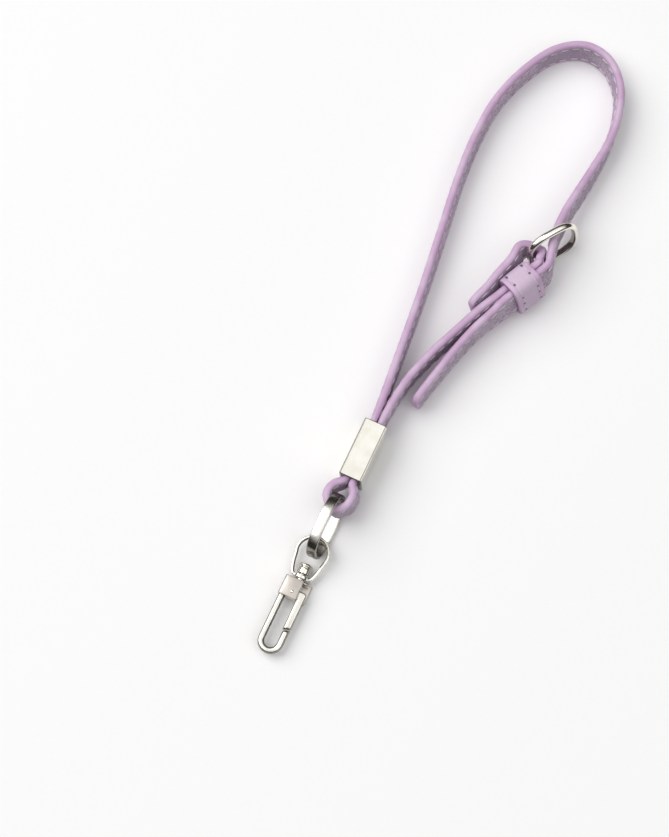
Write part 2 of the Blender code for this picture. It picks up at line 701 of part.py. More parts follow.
def make_sleeve(metal):
    """The sleeve: a rectangular tube with softened edges and two dimples on its right side."""
    half_x, half_y = SLEEVE_WIDTH / 2, SLEEVE_LENGTH / 2
    left, right = SLEEVE_X - half_x, SLEEVE_X + half_x
    sleeve = box("sleeve", (left, -half_y, 0.0), (right, half_y, SLEEVE_HEIGHT), metal)
    bevel(sleeve, SLEEVE_EDGE, segments=2)
    reach = half_y + SLEEVE_EDGE
    low = (left + SLEEVE_SIDE_WALL, -reach, SLEEVE_FLOOR_WALL)
    high = (right - SLEEVE_SIDE_WALL, reach, SLEEVE_HEIGHT - SLEEVE_FLOOR_WALL)
    boolean(sleeve, box("sleeve_bore_cutter", low, high), "DIFFERENCE")
    ball_radius = (DIMPLE_RADIUS ** 2 + DIMPLE_DEPTH ** 2) / (2 * DIMPLE_DEPTH)
    for index, side in enumerate((-1, 1)):
        angles = np.linspace(0.0, math.pi, 13)
        profile = [(-ball_radius * math.cos(a), max(ball_radius * math.sin(a), 0.01 * MM)) for a in angles]
        ball = turned(f"dimple_cutter_{index}", profile, 16, None)
        turn = Matrix.Rotation(math.radians(-90), 4, "Z")
        along = side * DIMPLE_SPACING / 2 + DIMPLE_OFFSET
        outside = right + ball_radius - DIMPLE_DEPTH
        ball.matrix_world = Matrix.Translation((outside, along, SLEEVE_CENTRE_Z)) @ turn
        boolean(sleeve, ball, "DIFFERENCE")
    return sleeve


def make_ring(metal):
    """The oval ring of flat strip, with softened edges."""
    outline, outward = superellipse(RING_LENGTH / 2, RING_HEIGHT / 2, RING_ROUNDNESS, 36)
    half = RING_STRIP / 2
    profile = np.array([
        [-RING_WALL, half], [-RING_WALL, -half], [-RING_EDGE, -half],
        [0.0, -half + RING_EDGE], [0.0, half - RING_EDGE], [-RING_EDGE, half],
    ])
    ring = hoop("ring", outline, outward, profile, metal)
    y = RING_END_Y + RING_LENGTH / 2
    up = Vector((-math.sin(RING_LEAN), 0.0, math.cos(RING_LEAN)))
    ring.matrix_world = frame_matrix(Vector((0.0, 1.0, 0.0)), up, (RING_X, y, RING_CENTRE_Z))
    return ring


def eye_outline():
    """Outline of the eye in plan, from its flat base round its wide far end."""
    angles = np.linspace(math.radians(-42), math.radians(222), 25)
    radius = EYE_WIDTH / 2
    centre = EYE_LENGTH - radius
    round_part = np.stack([radius * np.cos(angles), centre + radius * np.sin(angles)], axis=1)
    corner = EYE_BASE / 2
    base = np.array([[-corner, 0.35 * EYE_WALL], [-0.75 * corner, 0.0], [-0.25 * corner, 0.0],
                     [0.25 * corner, 0.0], [0.75 * corner, 0.0], [corner, 0.35 * EYE_WALL]])
    points = np.vstack([round_part, base])
    before, after = np.roll(points, 1, axis=0), np.roll(points, -1, axis=0)
    tangent = after - before
    outward = np.stack([tangent[:, 1], -tangent[:, 0]], axis=1)
    return points, outward / np.linalg.norm(outward, axis=1)[:, None]


def make_eye(metal):
    """The swivel eye, with a hole for the pin through its base."""
    outline, outward = eye_outline()
    half = EYE_HEIGHT / 2
    edge = EYE_EDGE
    profile = np.array([
        [-EYE_WALL, -half + edge], [-EYE_WALL + edge, -half], [-edge, -half], [0.0, -half + edge],
        [0.0, half - edge], [-edge, half], [-EYE_WALL + edge, half], [-EYE_WALL, half - edge],
    ])
    eye = hoop("swivel_eye", outline, outward, profile, metal)
    place = Matrix.Translation((HOOK_AXIS_X, HOUSING_END_Y + 2 * GAP, HOOK_CENTRE_Z))
    eye.matrix_world = place
    boss_ends = (-0.12 * EYE_WALL, 0.88 * EYE_WALL)
    boss = turned("eye_boss_guide", [(y, EYE_BOSS_RADIUS) for y in boss_ends], 16, None)
    boss.matrix_world = place
    boolean(eye, boss, "UNION")
    hole_ends = [(-EYE_WALL, PIN_RADIUS + GAP), (2 * EYE_WALL, PIN_RADIUS + GAP)]
    hole = turned("eye_hole_cutter", hole_ends, 16, None)
    hole.matrix_world = place
    boolean(eye, hole, "DIFFERENCE")
    return eye


def make_pin(metal):
    """The swivel pin: a flange inside the housing, a neck, a collar and a domed head."""
    base = HOUSING_END_Y
    inside = base - HOUSING_WALL - GAP
    collar = base + 2 * GAP + EYE_WALL + GAP
    head = collar + PIN_COLLAR_LENGTH
    profile = [
        (inside - PIN_FLANGE_LENGTH, PIN_FLANGE_RADIUS),
        (inside, PIN_FLANGE_RADIUS),
        (inside, PIN_RADIUS),
        (collar, PIN_RADIUS),
        (collar, PIN_COLLAR_RADIUS),
        (head, PIN_COLLAR_RADIUS),
        (head, PIN_HEAD_RADIUS),
        (head + 0.5 * PIN_HEAD_LENGTH, 0.95 * PIN_HEAD_RADIUS),
        (head + 0.85 * PIN_HEAD_LENGTH, 0.65 * PIN_HEAD_RADIUS),
        (head + PIN_HEAD_LENGTH, 0.25 * PIN_HEAD_RADIUS),
    ]
    pin = turned("swivel_pin", profile, 14, metal)
    pin.location = (HOOK_AXIS_X, 0.0, HOOK_CENTRE_Z)
    return pin


def extruded(name, outline, thickness, material):
    """A plate in the XY plane with the given outline, thickness thick and centred on z = 0."""
    rings = [np.column_stack([outline, np.full(len(outline), z)]) for z in (-thickness / 2, thickness / 2)]
    vertices, faces = bridge_rings(rings, closed=False)
    return mesh_object(name, vertices, faces, material)


def hook_wire_rings():
    """Sections of the hook's wire: down the fixed leg, round the bow and up to the nose."""
    radius = (HOOK_WIDTH - HOOK_WIRE) / 2
    bow_y = HOUSING_END_Y - HOOK_LENGTH + HOOK_WIDTH / 2
    root_y = HOUSING_END_Y - HOUSING_WALL - GAP
    nose_y = HOUSING_END_Y - GATE_REACH - GAP
    angles = np.linspace(math.pi, 2 * math.pi, 11)
    bow = [(radius * math.cos(a), bow_y + radius * math.sin(a), -math.sin(a), math.cos(a)) for a in angles]
    path = [(-radius, root_y, 0.0, -1.0), (-radius, (root_y + bow_y) / 2, 0.0, -1.0)] + bow
    path.append((radius, nose_y, 0.0, 1.0))
    turn = np.arange(8) * math.pi / 4 + math.pi / 8
    across = HOOK_WIRE / 2 * np.cos(turn) / math.cos(math.pi / 8)
    height = HOOK_WIRE_HEIGHT / 2 * np.sin(turn) / math.cos(math.pi / 8)
    rings = []
    for x, y, heading_x, heading_y in path:
        ring_x = HOOK_AXIS_X + x + across * heading_y
        ring_y = y - across * heading_x
        rings.append(np.column_stack([ring_x, ring_y, HOOK_CENTRE_Z + height]))
    rings[-1][:, 1] += GATE_SLANT * (rings[-1][:, 0] - HOOK_AXIS_X - radius)
    return rings


def make_hook(metal):
    """The snap hook: a folded housing with an open right side, a fixed leg, a bow and a nose."""
    left, right = HOOK_AXIS_X - HOUSING_WIDTH / 2, HOOK_AXIS_X + HOUSING_WIDTH / 2
    top, end = HOUSING_END_Y, HOUSING_END_Y - HOUSING_LENGTH
    beyond = HOUSING_WALL
    hook = box("hook", (left, end, 0.0), (right, top, HOUSING_HEIGHT), metal)
    bevel(hook, 0.3 * HOUSING_WALL)
    channel_low = (left + HOUSING_WALL, end - beyond, HOUSING_WALL)
    channel_high = (right + beyond, top - HOUSING_WALL, HOUSING_HEIGHT - HOUSING_WALL)
    boolean(hook, box("channel_cutter", channel_low, channel_high), "DIFFERENCE")
    step_low = (right - HOUSING_STEP, end - beyond, HOUSING_HEIGHT / 2)
    step_high = (right + beyond, top + beyond, HOUSING_HEIGHT + beyond)
    boolean(hook, box("step_cutter", step_low, step_high), "DIFFERENCE")
    vertices, faces = bridge_rings(hook_wire_rings(), closed=False)
    boolean(hook, mesh_object("hook_wire_guide", vertices, faces, None), "UNION")
    neck = [(top - 2 * HOUSING_WALL, PIN_RADIUS + GAP), (top + beyond, PIN_RADIUS + GAP)]
    neck_cutter = turned("neck_hole_cutter", neck, 16, None)
    neck_cutter.location = (HOOK_AXIS_X, 0.0, HOOK_CENTRE_Z)
    boolean(hook, neck_cutter, "DIFFERENCE")
    pivot_cutter = pivot_cylinder("pivot_hole_cutter", GATE_PIN_RADIUS + GAP, HOUSING_HEIGHT + beyond, None)
    boolean(hook, pivot_cutter, "DIFFERENCE")
    return hook


def pivot_cylinder(name, radius, height, material):
    """An upright cylinder on the gate's pivot."""
    pivot = turned(name, [(-height / 2, radius), (height / 2, radius)], 12, material)
    pivot.matrix_world = Matrix.Translation(pivot_point()) @ Matrix.Rotation(math.radians(90), 4, "X")
    return pivot


def pivot_point():
    """The gate's pivot, in the middle of the housing's height."""
    return Vector((HOOK_AXIS_X + GATE_PIVOT_ACROSS, HOUSING_END_Y - GATE_PIVOT_ALONG, HOOK_CENTRE_Z))


def make_gate(metal):
    """The sprung gate: a lug round the pivot pin, a shoulder and a bar that closes the hook."""
    outer = HOOK_WIDTH / 2 - GATE_PIVOT_ACROSS
    inner = outer - GATE_WIDTH
    reach = GATE_REACH - GATE_PIVOT_ALONG
    slant = GATE_SLANT * GATE_WIDTH / 2
    hub = GATE_HUB_RADIUS
    outline = np.array([
        (0.0, hub), (outer - 0.4 * hub, hub), (outer, 0.6 * hub), (outer, -reach + slant),
        (inner, -reach - slant), (inner, -1.3 * hub), (0.5 * inner, -hub), (0.0, -hub),
    ])
    gate = extruded("gate", outline, GATE_THICKNESS, metal)
    bevel(gate, 0.22 * GATE_THICKNESS, segments=2)
    gate.location = pivot_point()
    boolean(gate, pivot_cylinder("gate_hub_guide", hub, 0.9 * GATE_THICKNESS, None), "UNION")
    hole = pivot_cylinder("gate_hole_cutter", GATE_PIN_RADIUS + GAP, 2 * GATE_THICKNESS, None)
    boolean(gate, hole, "DIFFERENCE")
    return gate


def centre_over_origin():
    """Moves the whole assembly so that the middle of its box lies over the origin."""
    bpy.context.view_layer.update()
    depsgraph = bpy.context.evaluated_depsgraph_get()
    corners = []
    for item in bpy.data.objects:
        if not item.hide_render:
            shape = item.evaluated_get(depsgraph)
            corners += [item.matrix_world @ Vector(corner) for corner in shape.bound_box]
    low = np.min(corners, axis=0)
    high = np.max(corners, axis=0)
    shift = Matrix.Translation((-(low[0] + high[0]) / 2, -(low[1] + high[1]) / 2, 0.0))
    for item in bpy.data.objects:
        item.matrix_world = shift @ item.matrix_world


def build():
    """Clears the scene and makes every piece."""
    for item in list(bpy.data.objects):
        bpy.data.objects.remove(item, do_unlink=True)
    leather = principled("lilac_leather", (0.52, 0.36, 0.54), 0.55, 0.0)
    keeper_leather = principled("keeper_leather", (0.56, 0.39, 0.57), 0.50, 0.0)
    polished = principled("polished_nickel", (0.82, 0.80, 0.74), 0.16, 1.0)
    satin = principled("satin_nickel", (0.66, 0.64, 0.58), 0.26, 1.0)
    make_strap(leather)
    make_keeper(keeper_leather)
    make_frame(polished)
    rivet_body("rivet", 0.0, polished)
    make_sleeve(polished)
    make_ring(satin)
    make_eye(polished)
    make_pin(polished)
    make_hook(satin)
    make_gate(polished)
    pivot_cylinder("gate_pin", GATE_PIN_RADIUS, HOUSING_HEIGHT, polished)
    centre_over_origin()


build()
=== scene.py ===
"""Looks of a leather phone wrist strap with a buckle, a sleeve, a ring and a swivel snap hook.

The strap lies on its edge on a pale floor. Every piece is worked out in metres in the frame of
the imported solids: +Y from the snap hook to the wrist loop's far end, +Z up from the floor.
"""

import json
import math
from collections import namedtuple

import bmesh
import bpy
import numpy as np
from mathutils import Matrix, Vector


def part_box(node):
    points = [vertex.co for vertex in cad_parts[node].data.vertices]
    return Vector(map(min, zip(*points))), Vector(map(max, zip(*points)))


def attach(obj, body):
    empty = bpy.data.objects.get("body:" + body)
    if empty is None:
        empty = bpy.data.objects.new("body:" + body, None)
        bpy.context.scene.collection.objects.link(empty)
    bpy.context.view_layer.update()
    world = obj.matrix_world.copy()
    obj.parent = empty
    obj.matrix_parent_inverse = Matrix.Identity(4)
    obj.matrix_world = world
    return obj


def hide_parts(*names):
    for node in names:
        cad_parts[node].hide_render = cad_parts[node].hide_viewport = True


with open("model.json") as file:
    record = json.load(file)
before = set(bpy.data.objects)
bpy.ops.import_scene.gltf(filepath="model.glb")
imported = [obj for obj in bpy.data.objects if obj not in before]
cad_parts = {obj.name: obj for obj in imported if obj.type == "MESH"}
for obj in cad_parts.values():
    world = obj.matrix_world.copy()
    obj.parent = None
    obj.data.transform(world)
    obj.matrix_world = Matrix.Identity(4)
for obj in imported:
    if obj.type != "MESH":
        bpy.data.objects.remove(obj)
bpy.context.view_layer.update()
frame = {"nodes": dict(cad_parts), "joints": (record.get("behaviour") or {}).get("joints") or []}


# The camera and the light.
# The camera looks down steeply on the strap from a short way off, turned to one side and rolled
# a little. A wide soft lamp stands at the upper left and a weak one at the right, in a white room.

MM = 0.001


def middle(node):
    """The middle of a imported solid's box."""
    low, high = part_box(node)
    return (low + high) / 2


SLEEVE_X = -0.3 * MM
SLEEVE_MIDDLE = middle("sleeve")
PLAN_X = SLEEVE_MIDDLE.x - SLEEVE_X
CAMERA_AZIMUTH = math.radians(31.27)
CAMERA_ELEVATION = math.radians(76.4)
CAMERA_ROLL = math.radians(-6.3)
CAMERA_DISTANCE = 600 * MM
CAMERA_AIM = Vector((-11.74, 5.90, 4.0)) * MM
FOCAL_PIXELS = 2250.0
PICTURE_WIDTH = 669
PICTURE_HEIGHT = 837
PICTURE_MIDDLE = (334.0, 418.0)
SENSOR = 36.0

away = Vector((math.sin(CAMERA_AZIMUTH) * math.cos(CAMERA_ELEVATION),
               -math.cos(CAMERA_AZIMUTH) * math.cos(CAMERA_ELEVATION),
               math.sin(CAMERA_ELEVATION)))
level = Vector((math.cos(CAMERA_AZIMUTH), math.sin(CAMERA_AZIMUTH), 0.0))
steep = away.cross(level)
picture_right = level * math.cos(CAMERA_ROLL) + steep * math.sin(CAMERA_ROLL)
picture_up = steep * math.cos(CAMERA_ROLL) - level * math.sin(CAMERA_ROLL)
aim = Vector((PLAN_X, SLEEVE_MIDDLE.y, 0.0)) + CAMERA_AIM


def facing(position, x_axis, y_axis):
    """A matrix for a camera or a lamp at a place, with its own right and up directions."""
    matrix = Matrix((x_axis, y_axis, x_axis.cross(y_axis))).transposed().to_4x4()
    matrix.translation = position
    return matrix


lens = bpy.data.cameras.new("photo_camera")
lens.sensor_fit = "VERTICAL"
lens.sensor_height = SENSOR
lens.lens = SENSOR * FOCAL_PIXELS / PICTURE_HEIGHT
lens.shift_x = (PICTURE_WIDTH / 2 - PICTURE_MIDDLE[0]) / PICTURE_HEIGHT
lens.shift_y = (PICTURE_MIDDLE[1] - PICTURE_HEIGHT / 2) / PICTURE_HEIGHT
lens.clip_start = 10 * MM
camera = bpy.data.objects.new("photo_camera", lens)
camera.matrix_world = facing(aim + away * CAMERA_DISTANCE, picture_right, picture_up)
bpy.context.scene.collection.objects.link(camera)
bpy.context.scene.camera = camera
bpy.context.scene.view_settings.view_transform = "Standard"

Lamp = namedtuple("Lamp", "name right up toward distance size power colour")
LAMPS = [
    Lamp("window", -0.80, 0.66, 0.90, 2.60, 2.40, 51.0, (1.0, 0.99, 0.98)),
    Lamp("fill", 0.70, -0.20, 1.00, 2.60, 1.80, 8.5, (0.97, 0.98, 1.0)),
]
for lamp in LAMPS:
    toward = (picture_right * lamp.right + picture_up * lamp.up + away * lamp.toward).normalized()
    light = bpy.data.lights.new(lamp.name, "AREA")
    light.size = lamp.size
    light.energy = lamp.power
    light.color = lamp.colour
    shining = bpy.data.objects.new(lamp.name, light)
    side = Vector((0.0, 0.0, 1.0)).cross(toward).normalized()
    shining.matrix_world = facing(aim + toward * lamp.distance, side, toward.cross(side))
    bpy.context.scene.collection.objects.link(shining)


def node(tree, kind, settings=None, inputs=None):
    """A shader node with its settings, and its inputs set to values or joined to outputs."""
    made = tree.nodes.new(kind)
    for name, value in (settings or {}).items():
        setattr(made, name, value)
    for name, value in (inputs or {}).items():
        if isinstance(value, bpy.types.NodeSocket):
            tree.links.new(value, made.inputs[name])
        else:
            made.inputs[name].default_value = value
    return made


def maths(tree, operation, first, second=0.0, third=0.0):
    """The output of a Math node."""
    made = node(tree, "ShaderNodeMath", {"operation": operation}, {0: first, 1: second, 2: third})
    return made.outputs[0]


def mixed(tree, share, first, second, blend="MIX"):
    """The colour between two colours, or one laid over the other."""
    settings = {"data_type": "RGBA", "blend_type": blend}
    made = node(tree, "ShaderNodeMix", settings, {"Factor": share, 6: first, 7: second})
    return made.outputs[2]


def between(tree, value, low, high, to_low=0.0, to_high=1.0):
    """A value taken smoothly from one range to another."""
    inputs = {"Value": value, "From Min": low, "From Max": high, "To Min": to_low, "To Max": to_high}
    return node(tree, "ShaderNodeMapRange", {"interpolation_type": "SMOOTHSTEP"}, inputs).outputs[0]


ROOM_ZENITH = (1.0, 1.0, 1.0, 1.0)
ROOM_HORIZON = (0.05, 0.046, 0.038, 1.0)
ROOM_BRIGHTNESS = 1.06
ROOM_DARKEST_HEIGHT = 0.56
ROOM_WHITE_HEIGHT = 0.93
room = bpy.data.worlds.new("white_room")
room.use_nodes = True
tree = room.node_tree
ray = node(tree, "ShaderNodeTexCoord").outputs["Generated"]
height = node(tree, "ShaderNodeSeparateXYZ", None, {"Vector": ray}).outputs["Z"]
whiteness = between(tree, height, ROOM_DARKEST_HEIGHT, ROOM_WHITE_HEIGHT)
glow = mixed(tree, whiteness, ROOM_HORIZON, ROOM_ZENITH)
tree.links.new(glow, tree.nodes["Background"].inputs["Color"])
tree.nodes["Background"].inputs["Strength"].default_value = ROOM_BRIGHTNESS
bpy.context.scene.world = room


# The floor.
# A white paper sheet, wide enough for every view, which only takes the soft shadow.

FLOOR_REACH = 3.0
FLOOR_DROP = 0.05 * MM
FLOOR_COLOUR = (0.93, 0.93, 0.935, 1.0)
FLOOR_FIBRES = (0.95, 0.95, 0.953, 1.0)


def new_material(name):
    """A new material, its node tree and its Principled shader."""
    material = bpy.data.materials.new(name)
    material.use_nodes = True
    return material, material.node_tree, material.node_tree.nodes["Principled BSDF"]


paper_mesh = bpy.data.meshes.new("floor")
corners = [(x * FLOOR_REACH, y * FLOOR_REACH, -FLOOR_DROP)
           for x, y in ((-1, -1), (1, -1), (1, 1), (-1, 1))]
paper_mesh.from_pydata(corners, [], [(0, 1, 2, 3)])
paper, tree, shader = new_material("white_paper")
place = node(tree, "ShaderNodeTexCoord").outputs["Object"]
fibres = node(tree, "ShaderNodeTexNoise", None, {"Vector": place, "Scale": 900.0, "Detail": 3.0})
shade = mixed(tree, fibres.outputs["Fac"], FLOOR_COLOUR, FLOOR_FIBRES)
tree.links.new(shade, shader.inputs["Base Color"])
shader.inputs["Roughness"].default_value = 0.85
shader.inputs["Specular IOR Level"].default_value = 0.1
paper_mesh.materials.append(paper)
floor = bpy.data.objects.new("floor", paper_mesh)
bpy.context.scene.collection.objects.link(floor)


# The strap.
# One band of lilac cow leather, two layers glued back to back, with thick painted edges and a
# row of stitches near each edge on both faces. It makes the tail, the wrist loop, the fold
# round the ring and the end returned round the buckle frame.

GAP = 0.3 * MM
STRAP_WIDTH = 8.5 * MM
STRAP_THICKNESS = 2.1 * MM
STRAP_EDGE = 0.86
SLEEVE_SQUEEZE = 0.84
SLEEVE_LENGTH = 16.4 * MM
LOOP_LENGTH = 121.2 * MM
LOOP_WIDTH = 33.4 * MM
LOOP_HUB_ACROSS = 0.21
LOOP_HUB_ALONG = 0.72
TAIL_LENGTH = 39.0 * MM
RETURN_LENGTH = 19.0 * MM
KEEPER_LENGTH = 8.6 * MM
KEEPER_WALL = 1.5 * MM
KEEPER_TURN = math.radians(25.7)
KEEPER_LEAN = math.radians(18.0)
KEEPER_EASE = 2.8 * MM
FRAME_LENGTH = 15.8 * MM
FRAME_HEIGHT = 13.8 * MM
FRAME_BAR = 1.5 * MM
FRAME_BAR_WIDTH = 2.2 * MM
FRAME_ROUNDNESS = 2.8
FRAME_TURN = math.radians(34.5)
FRAME_LEAN = math.radians(16.0)
FRAME_FOLD_WIDTH = 5.6 * MM
FRAME_FOLD_SLACK = 0.75 * MM
FRAME_FOLD_SIDEWAYS = 0.35 * MM
RING_LEAN = math.radians(8.0)
RING_X = -0.9 * MM
FOLD_LENGTH = 10.3 * MM
FOLD_WIDTH = 8.6 * MM
FOLD_LEAN = 0.9
FOLD_SQUEEZE = 0.92

Row = namedtuple("Row", "along across lift lean")
Turn = namedtuple("Turn", "along across lean width")
Place = namedtuple("Place", "origin turn")

# along: share of LOOP_LENGTH from the sleeve's mouth; across: share of LOOP_WIDTH to the right;
# lift: share of the lift at the nearer end; lean: outward, as a share of the strap's width
LEFT_ROWS = [
    Row(0.045, -0.048, 0.85, 0.00),
    Row(0.165, -0.085, 0.45, 0.05),
    Row(0.315, -0.138, 0.10, 0.08),
    Row(0.470, -0.208, 0.00, 0.10),
    Row(0.600, -0.268, 0.00, 0.10),
    Row(0.705, -0.289, 0.00, 0.10),
    Row(0.805, -0.262, 0.00, 0.10),
    Row(0.897, -0.152, 0.00, 0.11),
    Row(0.966, 0.004, 0.00, 0.12),
    Row(1.000, 0.214, 0.00, 0.13),
    Row(0.991, 0.420, 0.00, 0.13),
    Row(0.946, 0.592, 0.00, 0.11),
    Row(0.880, 0.684, 0.00, 0.08),
    Row(0.808, 0.712, 0.00, 0.00),
]
RIGHT_ROWS = [
    Row(0.740, 0.698, 0.10, -0.12),
    Row(0.672, 0.672, 0.35, -0.18),
    Row(0.610, 0.648, 0.65, -0.17),
]
# along: share of the way; across: in strap widths to the right of the straight way
STRAND_ROWS = [
    Row(0.10, -0.17, 0.70, 0.00),
    Row(0.27, -0.36, 0.72, 0.02),
    Row(0.46, -0.39, 0.76, 0.06),
    Row(0.66, -0.29, 0.84, 0.13),
    Row(0.84, -0.16, 0.94, 0.24),
]
TAIL_ROWS = [
    Row(1.00, 0.225, 0.20, 0.06),
    Row(0.885, 0.13, 0.30, 0.08),
    Row(0.70, 0.02, 0.40, 0.10),
    Row(0.55, -0.06, 0.55, 0.12),
    Row(0.35, -0.11, 0.80, 0.15),
    Row(0.16, -0.06, 0.95, 0.24),
]
# along and across: shares of FRAME_LENGTH from the frame's middle; lean: share of the frame's
# lean; width: share of the strap's width
CROSSING_ROWS = [
    Turn(-0.28, 0.325, 0.5, 1.0),
    Turn(0.05, -0.03, 0.5, 1.0),
]
# along and across: shares of half the fold's width from its tip
FRAME_FOLD_ROWS = [
    Turn(-0.30, 0.76, 0.8, 0.84),
    Turn(0.28, 0.28, 0.9, 0.74),
    Turn(0.06, -0.30, 1.0, 0.68),
    Turn(-0.62, -1.06, 1.0, 0.76),
    Turn(-1.35, -1.18, 1.0, 0.92),
]
# along: share of RETURN_LENGTH from the keeper's far end; across: free distance in thicknesses
RETURN_ROWS = [
    Turn(0.10, 0.72, 1.1, 1.0),
    Turn(0.40, 0.30, 1.0, 1.0),
    Turn(0.66, 0.52, 1.0, 1.0),
    Turn(1.00, 0.24, 1.0, 1.0),
]
# along: share of the fold's length; across: share of its half width
FOLD_ROWS = [
    Row(0.12, 0.42, 0.30, 0.0),
    Row(0.32, 0.86, 0.70, 0.0),
    Row(0.55, 1.02, 1.00, 0.0),
    Row(0.80, 0.80, 1.00, 0.0),
]

SLEEVE_STRAND = STRAP_THICKNESS * SLEEVE_SQUEEZE
KEEPER_INNER_WIDTH = 2.0 * STRAP_THICKNESS + 3.0 * GAP
KEEPER_OUTER_WIDTH = KEEPER_INNER_WIDTH + 2.0 * KEEPER_WALL
KEEPER_MIDDLE = middle("keeper")
FRAME_MIDDLE = middle("buckle_frame")
RING_MIDDLE = middle("ring")
FLOOR_CENTRE_Z = STRAP_WIDTH / 2
KEEPER_PLACE = Place((KEEPER_MIDDLE.x, KEEPER_MIDDLE.y), KEEPER_TURN)
FRAME_PLACE = Place((FRAME_MIDDLE.x, FRAME_MIDDLE.y), FRAME_TURN)
SLEEVE_PLACE = Place((SLEEVE_MIDDLE.x, SLEEVE_MIDDLE.y), 0.0)


def plan_point(place, across, along):
    """The plan point to the right of a place and ahead of it along its heading."""
    sine, cosine = math.sin(place.turn), math.cos(place.turn)
    return (place.origin[0] + across * cosine + along * sine,
            place.origin[1] - across * sine + along * cosine)


def route_point(place, across, along, height, lean_left, thickness=1.0, width=1.0):
    """One route row: plan point, height, lean of the top edge in x and y, two shares of size."""
    x, y = plan_point(place, across, along)
    lean_x, lean_y = -lean_left * math.cos(place.turn), lean_left * math.sin(place.turn)
    return [x, y, height, lean_x, lean_y, thickness, width]


def keeper_run(side):
    """The straight way through the keeper: side -1 is the strand, 1 the tail."""
    beside = side * (STRAP_THICKNESS + GAP) / 2
    across = beside * math.cos(KEEPER_LEAN)
    height = KEEPER_MIDDLE.z + beside * math.sin(KEEPER_LEAN)
    reach = KEEPER_LENGTH / 2 + KEEPER_EASE
    stops = (-reach, -KEEPER_LENGTH / 2, KEEPER_LENGTH / 2, reach)
    return [route_point(KEEPER_PLACE, across, stop, height, math.tan(KEEPER_LEAN))
            for stop in stops]


def sleeve_run(side):
    """The straight way through the sleeve: side -1 is the left strand, 1 the right one."""
    across = side * (SLEEVE_STRAND + GAP) / 2
    stops = (side * -SLEEVE_LENGTH / 2, side * SLEEVE_LENGTH / 2)
    return [route_point(SLEEVE_PLACE, across, stop, SLEEVE_MIDDLE.z, 0.0, SLEEVE_SQUEEZE)
            for stop in stops]


def loop_rows():
    """The wrist loop from the buckle round to the sleeve, leaning outward all the way."""
    start_y = SLEEVE_MIDDLE.y + SLEEVE_LENGTH / 2
    hub = np.array([PLAN_X + LOOP_HUB_ACROSS * LOOP_WIDTH, start_y + LOOP_HUB_ALONG * LOOP_LENGTH])
    rows = []
    for table, top in ((RIGHT_ROWS[::-1], FRAME_MIDDLE.z), (LEFT_ROWS[::-1], SLEEVE_MIDDLE.z)):
        for row in table:
            spot = np.array([PLAN_X + row.across * LOOP_WIDTH, start_y + row.along * LOOP_LENGTH])
            outward = spot - hub
            outward[1] = max(outward[1], 0.0)
            lean = row.lean * outward / np.linalg.norm(outward)
            rows.append([*spot, FLOOR_CENTRE_Z + row.lift * (top - FLOOR_CENTRE_Z), *lean, 1.0, 1.0])
    return rows


def between_rows(table, start, end, length):
    """Rows of a table set out on the straight way from start towards end."""
    heading = (Vector(end) - Vector(start)).normalized()
    forward = heading if heading.y > 0 else -heading
    rows = []
    for row in table:
        x = start[0] + heading.x * row.along * length + forward.y * row.across * STRAP_WIDTH
        y = start[1] + heading.y * row.along * length - forward.x * row.across * STRAP_WIDTH
        height = FLOOR_CENTRE_Z + row.lift * (KEEPER_MIDDLE.z - FLOOR_CENTRE_Z)
        rows.append([x, y, height, -row.lean * forward.y, row.lean * forward.x, 1.0, 1.0])
    return rows


def frame_rows(table, scale, offset_across, offset_along):
    """Rows of a table set out in the buckle frame's own heading."""
    rows = []
    for row in table:
        across, along = offset_across + row.across * scale, offset_along + row.along * scale
        lean = row.lean * math.tan(FRAME_LEAN)
        rows.append(route_point(FRAME_PLACE, across, along, FRAME_MIDDLE.z, lean, 1.0, row.width))
    return rows


def return_rows():
    """The returned end outside the keeper, which the rivet holds to the strand."""
    rows = []
    for row in RETURN_ROWS:
        along = KEEPER_LENGTH / 2 - row.along * RETURN_LENGTH
        outside_keeper = along > -KEEPER_LENGTH / 2
        beside = KEEPER_OUTER_WIDTH / 2 if outside_keeper else 1.5 * GAP + STRAP_THICKNESS
        across = -beside - (row.across + 0.5) * STRAP_THICKNESS
        lean = row.lean * math.tan(KEEPER_LEAN)
        rows.append(route_point(KEEPER_PLACE, across, along, KEEPER_MIDDLE.z, lean))
    return rows


def ring_fold_rows():
    """The fold round the ring, from the left strand to the right one."""
    half = (FOLD_WIDTH - STRAP_THICKNESS) / 2
    length = FOLD_LENGTH - STRAP_THICKNESS / 2
    lean = FOLD_LEAN * math.tan(RING_LEAN)
    tip = [Row(1.0, 0.0, 1.0, 0.0)]
    rows = []
    for side, table in ((-1.0, FOLD_ROWS), (0.0, tip), (1.0, FOLD_ROWS[::-1])):
        for row in table:
            x = SLEEVE_MIDDLE.x + side * row.across * half + row.lift * (RING_X - SLEEVE_X) / 2
            y = SLEEVE_MIDDLE.y - SLEEVE_LENGTH / 2 - row.along * length
            height = SLEEVE_MIDDLE.z + row.lift * (RING_MIDDLE.z - SLEEVE_MIDDLE.z)
            width = 1.0 - row.lift * (1.0 - FOLD_SQUEEZE)
            rows.append([x, y, height, -row.lift * lean, 0.0, 1.0, width])
    return rows


